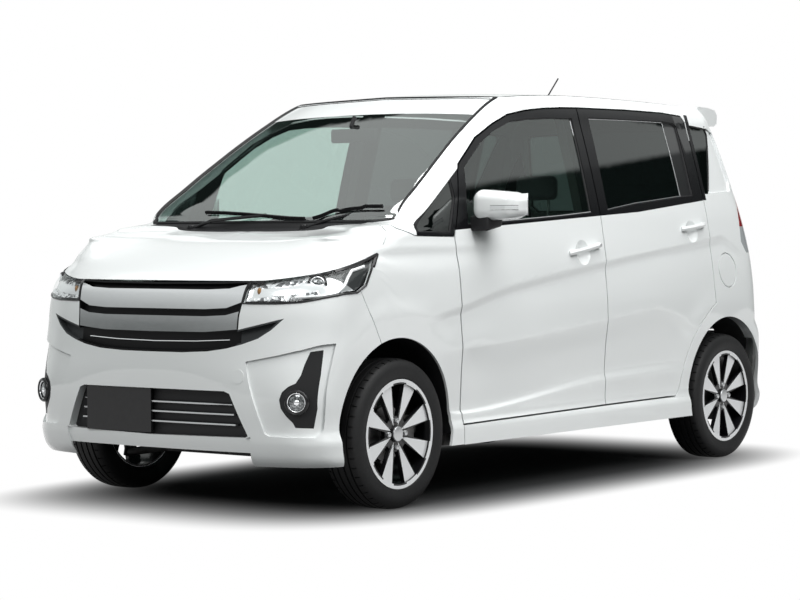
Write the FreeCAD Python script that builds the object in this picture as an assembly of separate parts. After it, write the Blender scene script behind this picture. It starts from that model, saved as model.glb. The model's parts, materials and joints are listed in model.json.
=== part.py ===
import FreeCAD, Part
import math
import os

V = FreeCAD.Vector
os.makedirs("parts", exist_ok=True)

# Millimetres. +X points forward, +Y to the car's left, +Z up. The origin is on the ground
# below the middle of the car.
LENGTH = 3395.0
WIDTH = 1475.0
HEIGHT = 1620.0
WHEELBASE = 2430.0
FRONT_OVERHANG = 565.0
FRONT_TRACK = 1300.0
REAR_TRACK = 1290.0
TYRE_RADIUS = 281.0
TYRE_WIDTH = 165.0
TYRE_FLATS = 72
BEAD_RADIUS = 195.0
SPOKES = 8
DISC_RADIUS = 104.0
ARCH_RADIUS = 336.0
ARCH_HEIGHT = TYRE_RADIUS + 22.0
FLARE = 5.0
FLARE_WIDTH = 78.0
PANEL_GAP = 7.0
DOOR_WALL = 45.0
POST_WALL = 45.0
SKIN = 11.0
GLASS = 5.0
GLASS_INSET = 8.0
SEAL_GAP = 0.3
BAR_DEPTH = 22.0
GRILLE_DEPTH = 34.0
LAMP_DEPTH = 70.0
RECESS = 8.0
LINER = 4.0
FLOOR_TOP = 250.0
FLOOR_WALL = 22.0
REAR_FLOOR = 345.0
REAR_FLOOR_WALL = 20.0
STEERING_WHEEL_RADIUS = 180.0
SEAT_WIDTH = 470.0
SEAT_SIDE = 343.0
FLAP_RADIUS = 74.0

FRONT = LENGTH / 2
REAR = -LENGTH / 2
SIDE = WIDTH / 2
FRONT_AXLE = FRONT - FRONT_OVERHANG
REAR_AXLE = FRONT_AXLE - WHEELBASE
FRONT_ARCH = FRONT_AXLE + 16.0
REAR_ARCH = REAR_AXLE
BIG = 4000.0

# How far the middle of the nose lies behind the front end, by height: bumper, grille, bonnet,
# windscreen.
NOSE = [(150, 100), (190, 43), (230, 18), (300, 6), (420, 0), (500, 0), (600, 4), (700, 8), (760, 15),
        (820, 30), (850, 48), (880, 88), (910, 150), (950, 245), (1000, 385), (1020, 485), (1032, 585),
        (1045, 610), (1100, 636), (1200, 773), (1300, 926), (1400, 1086), (1500, 1262), (1545, 1350),
        (1590, 1446), (1620, 1512), (1700, 1700)]
# How far the middle of the tail lies ahead of the rear end, by height.
TAIL = [(150, 98), (200, 38), (250, 8), (330, 0), (450, 2), (560, 14), (620, 56), (700, 60), (900, 70),
        (1000, 80), (1100, 98), (1300, 138), (1500, 183), (1560, 205), (1590, 224), (1620, 250), (1700, 340)]
# How far the flank lies inside the full width, by height.
FLANK = [(150, 40), (190, 8), (215, 2), (275, 2), (310, 14), (340, 17), (420, 12), (520, 6), (620, 2),
         (720, 2), (800, 6), (880, 13), (960, 25), (1040, 39), (1090, 48), (1200, 73), (1350, 111),
         (1500, 153), (1540, 164), (1560, 174), (1580, 188), (1600, 206), (1620, 228), (1700, 330)]
# Depth and squareness of the rounded corners, front and rear, by height.
FRONT_CORNER = [(150, 277), (800, 277), (950, 300), (1050, 262), (1300, 275), (1500, 285), (1700, 300)]
FRONT_SQUARE = [(150, 3.4), (300, 3.7), (423, 3.8), (520, 3.35), (597, 2.95), (700, 2.7), (800, 2.67),
                (950, 2.95), (1050, 4.3), (1300, 4.4), (1700, 4.2)]
REAR_CORNER = [(150, 190), (560, 190), (700, 170), (1000, 170), (1500, 200), (1700, 240)]
REAR_SQUARE = [(150, 5.0), (560, 5.0), (700, 5.0), (1000, 4.5), (1500, 4.0), (1700, 3.2)]
# How far the bonnet's two side crests stand ahead of its hollow middle, by height.
CREST = [(870, 0), (919, 38), (946, 81), (993, 125), (1020, 188), (1043, 185), (1055, 88), (1075, 0)]
# How far the roof's middle line lies below the full height, by distance ahead of the middle.
ROOF = [(-1900, 80), (-1500, 32), (-1250, 13), (-900, 3), (-500, 0), (-250, 2), (0, 11), (240, 30),
        (400, 50), (700, 110), (1200, 260), (1900, 520)]
ROOF_CROWN = 24.0

# The creases of the body side. Each has a level, the height that it takes by distance ahead of
# the middle, and a depth below the line. The rows of the surface follow these lines.
WAIST_LEVEL = 880.0
WAIST_LINE = [(-1560, 880), (-1400, 960), (-1299, 1002), (-1138, 985), (-270, 899), (426, 815), (761, 745),
              (956, 716), (1100, 752), (1245, 880)]
WAIST_DEPTH = [(-1500, 0), (-1330, 8), (-400, 9), (500, 10), (800, 7), (1010, 0)]
ABOVE_WAIST_LEVEL = 960.0
ABOVE_WAIST = [(-1560, 960), (-1400, 1010), (-1299, 1035), (-1138, 1020), (-270, 966), (426, 960)]
WAIST_SHAPE = [(640, 0), (760, 0.6), (828, 0.97), (842, 1.0), (876, 0.1), (880, 0)]
SCOOP_LEVEL = 640.0
SCOOP_TOP = [(-1400, 640), (-1180, 640), (-997, 640), (-673, 691), (-284, 657), (833, 580), (1050, 600),
             (1250, 640)]
SCOOP_LOW_LEVEL = 430.0
SCOOP_LOW = [(-1300, 430), (-900, 462), (-771, 460), (-272, 441), (734, 345), (1000, 400), (1200, 430)]
SCOOP_DEPTH = [(-1010, 0), (-880, 5), (-700, 11), (500, 12), (734, 9), (880, 0)]
SCOOP_SHAPE = [(372, 0), (396, 0.12), (426, 0.9), (448, 1.0), (530, 0.93), (634, 0.07), (640, 0)]
SHOULDER_DEPTH = [(420, 0), (800, 3), (1288, 5), (1400, 0)]
SHOULDER_SHAPE = [(890, 0), (925, 0.6), (938, 1.0), (962, 0.1), (966, 0)]

# Heights of the surface's rows. They stand closer at the creases.
ROWS = [150, 185, 212, 245, 275, 310, 345, 380, 400, 414, 428, 446, 470, 510, 552, 590, 618, 634, 640, 650]
ROWS += [680, 720, 765, 805, 830, 845, 862, 874, 880, 890, 902, 918, 934, 950, 966, 982, 998, 1011, 1023]
ROWS += [1035, 1047, 1060, 1076, 1092, 1110, 1140, 1190, 1250, 1310, 1370, 1430, 1490, 1530, 1560, 1585]
ROWS += [1612, 1650]


def smooth(rows, at):
    # A monotone curve through the rows, with no overshoot between them.
    if at <= rows[0][0]:
        return rows[0][1]
    if at >= rows[-1][0]:
        return rows[-1][1]
    slopes = []
    for (x0, y0), (x1, y1) in zip(rows, rows[1:]):
        slopes.append((y1 - y0) / (x1 - x0))
    k = 0
    while at > rows[k + 1][0]:
        k += 1

    def tangent(i):
        if i == 0:
            return slopes[0]
        if i == len(rows) - 1:
            return slopes[-1]
        a, b = slopes[i - 1], slopes[i]
        if a * b <= 0:
            return 0.0
        return 2 * a * b / (a + b)

    (x0, y0), (x1, y1) = rows[k], rows[k + 1]
    h = x1 - x0
    t = (at - x0) / h
    a = y0 * (1 + 2 * t) * (1 - t) ** 2
    b = h * tangent(k) * t * (1 - t) ** 2
    c = y1 * t * t * (3 - 2 * t)
    d = h * tangent(k + 1) * t * t * (t - 1)
    return a + b + c + d


def nose_x(z):
    return FRONT - smooth(NOSE, z + 1620.0 - HEIGHT if z > 1000 else z)


def tail_x(z):
    return REAR + smooth(TAIL, z)


def row_height(x, level):
    # The height of a row of the surface beside x, where it follows the creases.
    return smooth([(150, 150), (290, 290), (300, 300), (SCOOP_LOW_LEVEL, smooth(SCOOP_LOW, x)),
                   (SCOOP_LEVEL, smooth(SCOOP_TOP, x)), (WAIST_LEVEL, smooth(WAIST_LINE, x)),
                   (ABOVE_WAIST_LEVEL, smooth(ABOVE_WAIST, x)), (1090, 1090), (1100, 1100),
                   (1800, 1800)], level)


def flare(x, z):
    # The soft rings round the wheel arches.
    most = 0.0
    for middle in (FRONT_ARCH, REAR_ARCH):
        out = math.hypot(x - middle, z - ARCH_HEIGHT) - ARCH_RADIUS
        share = min(max(1.0 - (out - FLARE_WIDTH) / FLARE_WIDTH, 0.0), 1.0)
        most = max(most, share * share * (3 - 2 * share))
    return FLARE * most


def flank_y(x, z, level):
    # The flank narrows a little towards both ends.
    taper = 10.0 * abs(x / FRONT) ** 3
    y = SIDE - smooth(FLANK, z) - taper
    y -= smooth(WAIST_DEPTH, x) * smooth(WAIST_SHAPE, level)
    y -= smooth(SCOOP_DEPTH, x) * smooth(SCOOP_SHAPE, level)
    y -= smooth(SHOULDER_DEPTH, x) * smooth(SHOULDER_SHAPE, z)
    return min(y + flare(x, z), SIDE)


def corner(share, square):
    return (1 - share ** square) ** (1 / square)


def half_section(level, inset, drop):
    # The left half of one row of the body, from the nose round to the tail.
    zo = level + drop
    front = nose_x(zo) - inset
    rear = tail_x(zo) + inset
    deep = smooth(FRONT_CORNER, zo)
    square = smooth(FRONT_SQUARE, zo)
    shallow = smooth(REAR_CORNER, zo)
    hard = smooth(REAR_SQUARE, zo)
    deep = min(deep, 0.45 * (front - rear))
    xs = front - deep
    xr = rear + shallow
    crest = smooth(CREST, zo)
    points = []

    def add(x, share):
        z = row_height(x, zo)
        points.append(V(x, (flank_y(x, z, zo) - inset) * share, z - drop))

    def add_front(share, depth):
        add(xs + deep * depth + crest * share ** 3 * (1 - share ** 12) / 0.535, share)

    face = 7
    turn = 6
    back = 5
    wide = 0.93
    points.append(V(front, -60.0, level))
    for i in range(face + 1):
        add_front(wide * i / face, corner(wide * i / face, square))
    for i in range(1, turn):
        depth = corner(wide, square) * (1 - i / turn)
        add_front(corner(depth, square), depth)
    side = [0.02 * i for i in range(13)] + [0.31, 0.39, 0.47, 0.55, 0.63] + [0.7 + 0.3 * i / 11 for i in range(12)]
    for share in side:
        add(xs + (xr - xs) * share, 1.0)
    for i in range(1, turn + 1):
        depth = corner(wide, hard) * i / turn
        add(xr - shallow * depth, corner(depth, hard))
    for i in range(back - 1, -1, -1):
        add(xr - shallow * corner(wide * i / back, hard), wide * i / back)
    points.append(V(rear, -60.0, level))
    return points


def spans(points):
    # Parameters from 0 to 1 in step with the distance along the points.
    total = [0.0]
    for a, b in zip(points, points[1:]):
        total.append(total[-1] + (b - a).Length)
    return [v / total[-1] for v in total]


def spline_surface(grid, uprights=None):
    # One smooth surface exactly through a grid of points.
    across = spans(grid[len(grid) // 3])
    upright = spans([row[0] for row in grid]) if uprights is None else uprights
    rows = []
    for points in grid:
        curve = Part.BSplineCurve()
        curve.interpolate(Points=points, Parameters=across)
        rows.append(curve)
    poles = []
    for k in range(rows[0].NbPoles):
        curve = Part.BSplineCurve()
        curve.interpolate(Points=[row.getPole(k + 1) for row in rows], Parameters=upright)
        poles.append(curve)
    net = []
    for j in range(poles[0].NbPoles):
        net.append([curve.getPole(j + 1) for curve in poles])
    surface = Part.BSplineSurface()
    surface.buildFromPolesMultsKnots(net, poles[0].getMultiplicities(), rows[0].getMultiplicities(),
                                     poles[0].getKnots(), rows[0].getKnots(), False, False,
                                     poles[0].Degree, rows[0].Degree)
    return surface.toShape()


def half_tube(inset=0.0, drop=0.0):
    # The left half of the body as one upright solid, open to the roof's cut.
    # The inner walls are plainer, with every other row.
    levels = ROWS if inset < DOOR_WALL else ROWS[::2]
    grid = []
    for level in levels:
        grid.append(half_section(level, inset, drop))
    side = spline_surface(grid, [(level - levels[0]) / (levels[-1] - levels[0]) for level in levels])
    level_edges = []
    upright_edges = []
    for edge in side.Edges:
        a, b = [v.Point for v in edge.Vertexes]
        if abs(a.z - b.z) < 1e-3:
            level_edges.append(edge)
        else:
            upright_edges.append(edge)
    faces = [side]
    lines = []
    for edge in level_edges:
        line = Part.makeLine(edge.Vertexes[0].Point, edge.Vertexes[1].Point)
        lines.append(line)
        faces.append(Part.Face(Part.Wire([edge, line])))
    faces.append(Part.Face(Part.Wire(Part.__sortEdges__(upright_edges + lines))))
    shell = Part.Shell(faces)
    shell.sewShape()
    return Part.Solid(shell)


def roof_solid(lower=0.0):
    # Everything below the crowned roof.
    grid = []
    for i in range(31):
        x = -1850 + 3700 * i / 30
        row = []
        for j in range(15):
            y = -80 + 840 * j / 14
            row.append(V(x, y, HEIGHT - smooth(ROOF, x) - ROOF_CROWN * (y / 550) ** 2 - lower))
        grid.append(row)
    return spline_surface(grid).extrude(V(0, 0, -1700))


def poly(points):
    return Part.Face(Part.makePolygon(points + [points[0]]))


def prism_y(outline, y0, y1):
    return poly([V(x, y0, z) for x, z in outline]).extrude(V(0, y1 - y0, 0))


def prism_x(outline, x0, x1):
    return poly([V(x0, y, z) for y, z in outline]).extrude(V(x1 - x0, 0, 0))


def prism_z(outline, z0, z1):
    return poly([V(x, y, z0) for x, y in outline]).extrude(V(0, 0, z1 - z0))


def from_side(outline):
    # What lies behind an outline that is seen from the left.
    return prism_y(outline, 300, 900)


def from_front(outline, x0=1300):
    # What lies behind an outline that is seen from the front.
    return prism_x(outline, x0, 1900)


def from_back(outline, x1=-1000):
    return prism_x(outline, -1900, x1)


def box(x0, x1, y0, y1, z0, z1):
    return Part.makeBox(x1 - x0, y1 - y0, z1 - z0, V(x0, y0, z0))


def rod(radius, start, end):
    run = end - start
    return Part.makeCylinder(radius, run.Length, start, run)


def arch_cylinder(x, radius, y0, y1):
    return Part.makeCylinder(radius, y1 - y0, V(x, y0, ARCH_HEIGHT), V(0, 1, 0))


def mirror(shape):
    return shape.mirror(V(0, 0, 0), V(0, 1, 0))


def grow(outline, by):
    # The outline moved outwards by a distance, for gaps round panels and glass.
    area = 0.0
    n = len(outline)
    for i in range(n):
        x0, y0 = outline[i]
        x1, y1 = outline[(i + 1) % n]
        area += x0 * y1 - x1 * y0
    sign = 1.0 if area > 0 else -1.0
    lines = []
    for i in range(n):
        x0, y0 = outline[i]
        x1, y1 = outline[(i + 1) % n]
        run = math.hypot(x1 - x0, y1 - y0)
        nx = sign * (y1 - y0) / run
        ny = -sign * (x1 - x0) / run
        lines.append((x0 + nx * by, y0 + ny * by, x1 - x0, y1 - y0))
    moved = []
    for i in range(n):
        ax, ay, adx, ady = lines[i - 1]
        bx, by0, bdx, bdy = lines[i]
        cross = adx * bdy - ady * bdx
        if abs(cross) < 1e-6 * math.hypot(adx, ady) * math.hypot(bdx, bdy):
            moved.append((bx, by0))
            continue
        t = ((bx - ax) * bdy - (by0 - ay) * bdx) / cross
        moved.append((ax + adx * t, ay + ady * t))
    return moved


def largest(shape):
    return sorted(shape.Solids, key=lambda s: -s.Volume)[0]


def whole(shape):
    half = shape.common(HALF)
    return largest(half.fuse(mirror(half)).removeSplitter())


def save(name, solids):
    flat = []
    for item in solids if isinstance(solids, list) else [solids]:
        flat.extend(item.Solids)
    shape = flat[0] if len(flat) == 1 else Part.makeCompound(flat)
    shape.exportStep("parts/" + name + ".step")


def save_sides(name, left):
    # Two like pieces on one body, one each side of the car.
    save(name, [left, mirror(left)])


def save_pair(name, left):
    # Two pieces that move by themselves.
    save(name + "_left", left)
    save(name + "_right", mirror(left))


# Shells of the body at different depths, all of the left half.
HALF = box(-BIG, BIG, 0, BIG, -BIG, BIG)
ROOF_SOLID = roof_solid()
OUTER = half_tube().common(ROOF_SOLID)
SKIN_IN = half_tube(SKIN, SKIN).common(roof_solid(SKIN))
GLASS_OUT = half_tube(GLASS_INSET).common(ROOF_SOLID)
GLASS_IN = half_tube(GLASS_INSET + GLASS).common(ROOF_SOLID)
DOOR_IN = half_tube(DOOR_WALL).common(roof_solid(30.0))
SEAL_IN = half_tube(DOOR_WALL + SEAL_GAP).common(roof_solid(30.0))
CABIN_IN = half_tube(DOOR_WALL + POST_WALL).common(roof_solid(45.0))
RECESSED = half_tube(RECESS)
BAR_BACK = half_tube(BAR_DEPTH)
GRILLE_BACK = half_tube(GRILLE_DEPTH)
LAMP_BACK = half_tube(LAMP_DEPTH)
SHELL = OUTER.cut(SKIN_IN)

# Outlines seen from the left (x, z).
DOOR_FRONT = [(738, 290), (745, 600), (753, 1000), (750, 1012), (690, 1150), (655, 1262), (636, 1292),
              (479, 1399), (350, 1456), (228, 1499), (100, 1520), (-39, 1534), (-200, 1543), (-300, 1546),
              (-305, 1085), (-290, 700), (-286, 302)]
DOOR_REAR = [(-286, 302), (-290, 700), (-305, 1085), (-300, 1546), (-700, 1551), (-1000, 1549), (-1155, 1540),
             (-1180, 1510), (-1190, 1150), (-1190, 705), (-1120, 662), (-1045, 612), (-980, 545), (-935, 470),
             (-902, 395), (-877, 330), (-850, 306)]
WINDOW_FRONT = [(655, 1054), (606, 1280), (452, 1384), (340, 1436), (221, 1473), (90, 1488), (-39, 1496),
                (-246, 1500), (-240, 1102), (0, 1086), (300, 1070)]
WINDOW_REAR = [(-376, 1508), (-985, 1512), (-1070, 1506), (-1100, 1490), (-1104, 1180), (-1003, 1174),
               (-600, 1140), (-368, 1112)]
QUARTER_REAR = [(-1212, 1502), (-1370, 1490), (-1420, 1470), (-1462, 1250), (-1450, 1205), (-1215, 1190)]
QUARTER_FRONT = [(975, 1028), (975, 1052), (895, 1113), (712, 1235), (708, 1160), (772, 1026)]
LAMP_TOP = [(1608, 853), (1560, 865), (1500, 880), (1400, 905), (1300, 931), (1240, 950)]
HEADLAMP = [(1800, 857)] + LAMP_TOP + [(1280, 908), (1330, 836), (1382, 812), (1458, 808), (1530, 795),
                                       (1583, 781), (1620, 776), (1800, 772)]
BONNET = [(1800, 850)] + LAMP_TOP + [(1205, 972), (1128, 1052), (1000, 1180), (1800, 1180)]
FENDER = [(757, 1009), (749, 600), (742, 215), (1237, 215), (1237, 560), (1254, 622), (1372, 838), (1300, 1040),
          (1133, 1079), (1086, 1041), (1000, 1013)]
FRONT_BUMPER = [(1377, 840), (1258, 622), (1241, 560), (1241, 187), (1800, 187), (1800, 846), (1620, 846)]
REAR_BUMPER = [(-1290, 187), (-1290, 300), (-1570, 558), (-1800, 558), (-1800, 187)]
TAIL_LAMP = [(-1505, 925), (-1470, 975), (-1485, 1100), (-1500, 1222), (-1800, 1222), (-1800, 925)]
BODY_SIDE = [(738, 213), (745, 600), (754, 1013), (1000, 1017), (1082, 1045), (1128, 1083), (1128, 1700),
             (-1900, 1700), (-1900, 213)]
QUARTER_SPLIT = [(-1900, 1710), (-1186, 1710), (-1186, 800), (-700, 420), (-700, 301), (-1900, 301)]
# Outlines seen from the front or the back (y, z), of the left half.
GRILLE = [(-60, 593), (150, 594), (270, 600), (354, 612), (420, 628), (483, 649), (532, 680), (577, 722),
          (500, 703), (402, 680), (404, 730), (412, 778), (420, 843), (414, 855), (300, 851), (-60, 848)]
UPPER_BAR = [(-60, 753), (250, 753), (345, 758), (412, 781), (419, 843), (392, 839), (345, 828), (250, 824),
             (-60, 824)]
LOWER_BAR = [(-60, 668), (250, 670), (345, 677), (402, 682), (404, 747), (345, 732), (250, 727), (-60, 727)]
INTAKE = [(-60, 458), (352, 458), (377, 449), (452, 299), (440, 292), (-60, 284)]
INTAKE_GRILLE = [(-60, 450), (350, 450), (369, 443), (399, 306), (330, 298), (-60, 294)]
FOG = [(692, 609), (661, 603), (650, 560), (643, 520), (630, 492), (606, 479), (586, 460), (577, 433),
       (582, 402), (600, 374), (620, 352), (628, 333), (677, 330), (689, 400), (693, 520)]
FOG_RECESS = [(720, 632), (694, 628), (640, 610), (560, 590), (440, 566), (462, 480), (520, 310), (540, 300),
              (690, 297), (703, 320), (712, 420)]
LIP_RECESS = [(-60, 180), (447, 180), (463, 296), (440, 292), (-60, 284)]
WINDSCREEN = [(-60, 1066), (560, 1066), (610, 1074), (620, 1092), (590, 1250), (556, 1390), (530, 1505),
              (518, 1566), (-60, 1582)]
ROOF_PANEL = [(-60, 1582 + SEAL_GAP), (518, 1566 + SEAL_GAP), (524, 1556), (524, 1720), (-60, 1720)]
TAILGATE = [(-60, 562), (560, 562), (590, 640), (596, 900), (566, 1100), (552, 1230), (536, 1500), (530, 1700),
            (-60, 1700)]
REAR_WINDOW = [(-60, 1120), (480, 1120), (512, 1150), (478, 1470), (460, 1488), (-60, 1500)]
TAILGATE_FRONT = -1398.0
FLAP = V(-1321, 720, 848)
COWL_HALF = 540.0
COWL_TOP = 1066.0

LINER_ROOM = ARCH_RADIUS + 8 + SEAL_GAP
ARCH_LINERS = arch_cylinder(FRONT_ARCH, LINER_ROOM, 380, 900)
ARCH_CUTS = arch_cylinder(FRONT_ARCH, ARCH_RADIUS, 0, 1000).fuse(arch_cylinder(REAR_ARCH, ARCH_RADIUS, 0, 1000))
GATE_CUT = from_back(grow(TAILGATE, PANEL_GAP / 2), TAILGATE_FRONT + PANEL_GAP / 2)


def pane(prism):
    return largest(prism.common(GLASS_OUT).cut(GLASS_IN))


def door(name, outline, window, handle):
    # One door, hollowed for its window, with a scoop behind its handle.
    slab = from_side(grow(outline, -PANEL_GAP / 2)).common(OUTER).cut(DOOR_IN)
    scoop = Part.makeSphere(90, V(handle[0], SIDE - smooth(FLANK, handle[1]) + 74, handle[1]))
    save_pair(name, largest(slab.cut([from_side(window), scoop])))
    save_pair(name + "_glass", pane(from_side(grow(window, -SEAL_GAP))))


def headlamp_prism(by):
    # The headlamp's outline from the side, with its inner end along the grille.
    inner = from_front([(407 - by, 740), (428 - by, 880), (900, 1000), (900, 740)], 1000)
    return from_side(grow(HEADLAMP, by)).common(inner)


def bonnet_plan(by):
    # The bonnet's rear edge, curved as seen from above.
    outline = []
    for i in range(9):
        y = -60 + 760 * i / 8
        outline.append((1088 + 47 * (y / 614) ** 2 - by, y))
    return prism_z(outline + [(1900, 700), (1900, -60)], 700, 1300)


COWL_CUT = box(1000, 1200, -60, COWL_HALF + SEAL_GAP, 1000, COWL_TOP)
BONNET_CUT = prism_y(grow(BONNET, PANEL_GAP / 2), -60, 900).common(bonnet_plan(PANEL_GAP / 2))
LAMP_CUT = headlamp_prism(SEAL_GAP)


def bonnet():
    outline = prism_y(grow(BONNET, -PANEL_GAP / 2), -60, 900).common(bonnet_plan(-PANEL_GAP / 2))
    save("bonnet", whole(SHELL.common(outline)))


def front_fenders():
    fender = SHELL.common(from_side(FENDER)).cut([BONNET_CUT, LAMP_CUT, ARCH_CUTS, COWL_CUT])
    save_sides("front_fenders", largest(fender))


def front_bumper():
    # The skin below the bonnet, with a walled intake, a shallow scoop round each fog lamp and
    # a lower lip that stands back between the corners.
    bumper = SHELL.common(prism_y(FRONT_BUMPER, -60, 900))
    bumper = bumper.cut([from_front(FOG_RECESS).cut(RECESSED), from_front(LIP_RECESS).cut(RECESSED)])
    wall = from_front(grow(INTAKE, 7)).cut(from_front(INTAKE, 1290)).common(RECESSED).cut(GRILLE_BACK)
    bumper = bumper.fuse(wall)
    bumper = bumper.cut([LAMP_CUT, BONNET_CUT, ARCH_CUTS, from_front(grow(GRILLE, SEAL_GAP), 1000),
                         from_front(INTAKE, 1000), from_front(grow(FOG, SEAL_GAP), 1450)])
    save("front_bumper", whole(bumper))


def grille():
    # The black surround with its recessed field, then the two bright bars.
    field = from_front(GRILLE)
    rim = field.cut(from_front(grow(GRILLE, -6), 1290)).common(OUTER).cut(BAR_BACK)
    save("grille", whole(field.common(BAR_BACK).cut(GRILLE_BACK).fuse(rim)))
    for name, outline in (("upper_grille_bar", UPPER_BAR), ("lower_grille_bar", LOWER_BAR)):
        bar = from_front(outline).common(from_front(grow(GRILLE, -6 - SEAL_GAP))).common(OUTER)
        save(name, whole(bar.cut(half_tube(BAR_DEPTH - SEAL_GAP))))


def lower_grille():
    # The dark field in the bumper's intake, with three thin bars, and the blank plate before it.
    field = from_front(grow(INTAKE, -SEAL_GAP)).common(GRILLE_BACK).cut(half_tube(GRILLE_DEPTH + 10))
    for z in (335, 372, 408):
        bar = from_front([(-60, z - 3), (600, z - 3), (600, z + 3), (-60, z + 3)])
        bar = bar.common(from_front(INTAKE_GRILLE)).common(half_tube(GRILLE_DEPTH - 12))
        bar = bar.cut(half_tube(GRILLE_DEPTH + 1))
        field = field.fuse(bar)
    save("lower_grille", whole(field))
    plate = box(FRONT - 24, FRONT - 12, -345, -15, 291, 456)
    save("front_plate", plate.cut(mirror(half_tube(GRILLE_DEPTH - 12 - SEAL_GAP))))


def lamps():
    save_sides("headlamps", largest(headlamp_prism(0).common(OUTER).cut(LAMP_BACK)))
    save_sides("fog_lamps", largest(from_front(FOG, 1450).common(RECESSED).cut([GRILLE_BACK, ARCH_LINERS])))
    lamp = prism_y(TAIL_LAMP, 400, 900).common(OUTER).cut([DOOR_IN, GATE_CUT])
    save_sides("tail_lamps", largest(lamp))


def windscreen_and_cowl():
    save("windscreen", whole(prism_x(WINDSCREEN, 0, 1500).common(GLASS_OUT).cut(GLASS_IN)))
    cowl = SHELL.common(box(1000, 1200, -60, COWL_HALF, 1000, COWL_TOP - SEAL_GAP)).cut(BONNET_CUT)
    save("cowl", whole(cowl))


def roof_panel():
    panel = OUTER.common(prism_x(ROOF_PANEL, TAILGATE_FRONT + PANEL_GAP, 600)).cut(roof_solid(22.0))
    save("roof_panel", whole(panel))


def tailgate():
    # The rear door with its spoiler, window and the hollow for a number plate.
    gate = OUTER.common(from_back(grow(TAILGATE, -PANEL_GAP / 2), TAILGATE_FRONT)).cut(DOOR_IN)
    gate = gate.cut(from_back(REAR_WINDOW))
    gate = gate.cut(box(-1900, REAR + 78, -60, 185, 700, 895))
    spoiler = prism_y([(-1402, 1596), (-1500, 1592), (-1560, 1583), (-1582, 1560), (-1578, 1522), (-1552, 1508),
                       (-1500, 1510), (-1402, 1560)], -60, 515)
    save("tailgate", whole(gate.fuse(spoiler)))
    save("tailgate_glass", whole(from_back(grow(REAR_WINDOW, -SEAL_GAP)).common(GLASS_OUT).cut(GLASS_IN)))


def rear_bumper():
    save("rear_bumper", whole(SHELL.common(prism_y(REAR_BUMPER, -60, 900)).cut(ARCH_CUTS)))


def side_face(outline):
    return poly([V(x, 300, z) for x, z in outline])


def arch_face(x):
    return Part.Face(Part.Wire(Part.makeCircle(ARCH_RADIUS, V(x, 300, ARCH_HEIGHT), V(0, 1, 0))))


def body_sides():
    # Pillars, sills and roof rails, and behind them the rear quarters, cut to shape as seen
    # from the side.
    region = side_face(BODY_SIDE)
    holes = [side_face(grow(DOOR_FRONT, PANEL_GAP / 2)), side_face(grow(DOOR_REAR, PANEL_GAP / 2)),
             side_face(QUARTER_FRONT), side_face(QUARTER_REAR), side_face(grow(REAR_BUMPER, SEAL_GAP)),
             side_face(grow(TAIL_LAMP, SEAL_GAP)), arch_face(FRONT_ARCH), arch_face(REAR_ARCH)]
    region = region.cut(holes[0].fuse(holes[1:]))
    region = Part.makeCompound(sorted(region.Faces, key=lambda f: -f.Area)[:3])
    front = region.cut(side_face(grow(QUARTER_SPLIT, SEAL_GAP)))
    rear = region.common(side_face(QUARTER_SPLIT))
    cuts = [prism_x(grow(WINDSCREEN, SEAL_GAP), 0, 1500), GATE_CUT, BONNET_CUT, COWL_CUT,
            prism_x(grow(ROOF_PANEL, SEAL_GAP), TAILGATE_FRONT - 400, 600)]
    flap = Part.makeCylinder(FLAP_RADIUS + 5.5, 400, V(FLAP.x, 640, FLAP.z), V(0, 1, 0))
    for name, part, count in (("side_frames", front, 2), ("rear_quarters", rear, 1)):
        frame = part.extrude(V(0, 600, 0)).common(OUTER).cut(DOOR_IN).cut(cuts)
        if name == "rear_quarters":
            frame = frame.cut(flap.cut(half_tube(9 + SEAL_GAP)))
        found = sorted(frame.Solids, key=lambda s: -s.Volume)[:count]
        save(name, found + [mirror(piece) for piece in found])


def inner_posts():
    # The posts behind the doors and the lower rear corners.
    cabin_wall = SEAL_IN.cut(CABIN_IN)
    round_wheels = ARCH_LINERS.fuse(arch_cylinder(REAR_ARCH, LINER_ROOM, 380, 900))
    posts = box(-345, -245, 300, 900, 213, 1560).fuse([
        box(690, 850, 300, 900, 213, 1010), box(-960, 800, 300, 900, 213, 300),
        box(-1900, -1450, 500, 900, 350, 1500)])
    posts = posts.common(cabin_wall).cut([round_wheels, from_back(REAR_WINDOW)])
    found = sorted(posts.Solids, key=lambda s: -s.Volume)[:2]
    save("inner_posts", found + [mirror(post) for post in found])


def fuel_flap():
    flap = Part.makeCylinder(FLAP_RADIUS, 400, V(FLAP.x, 640, FLAP.z), V(0, 1, 0))
    save("fuel_flap", largest(flap.common(OUTER).cut(half_tube(9))))


def fixed_side_glass():
    panes = []
    for outline in (QUARTER_FRONT, QUARTER_REAR):
        glass = pane(from_side(grow(outline, -SEAL_GAP)))
        panes += [glass, mirror(glass)]
    save("fixed_side_glass", panes)


def door_mirrors():
    # A rounded housing on a foot that stands on the door's belt.
    housing = box(560, 684, 742, 905, 1070, 1192)
    housing = housing.makeFillet(44, [e for e in housing.Edges if max(v.X for v in e.Vertexes) > 600])
    housing = housing.cut(box(500, 566, 700, 1000, 1000, 1300))
    foot = prism_y([(656, 1040), (596, 1070), (596, 1098), (660, 1098), (712, 1036)], 660, 790)
    foot = foot.cut(half_tube(-SEAL_GAP))
    save_pair("mirror", largest(housing.fuse(foot)))


door("front_door", DOOR_FRONT, WINDOW_FRONT, (-128, 952))
door("rear_door", DOOR_REAR, WINDOW_REAR, (-1035, 1036))
bonnet()
front_fenders()
front_bumper()
grille()
lower_grille()
lamps()
windscreen_and_cowl()
roof_panel()
tailgate()
rear_bumper()
body_sides()
inner_posts()
fuel_flap()
fixed_side_glass()
door_mirrors()

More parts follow.
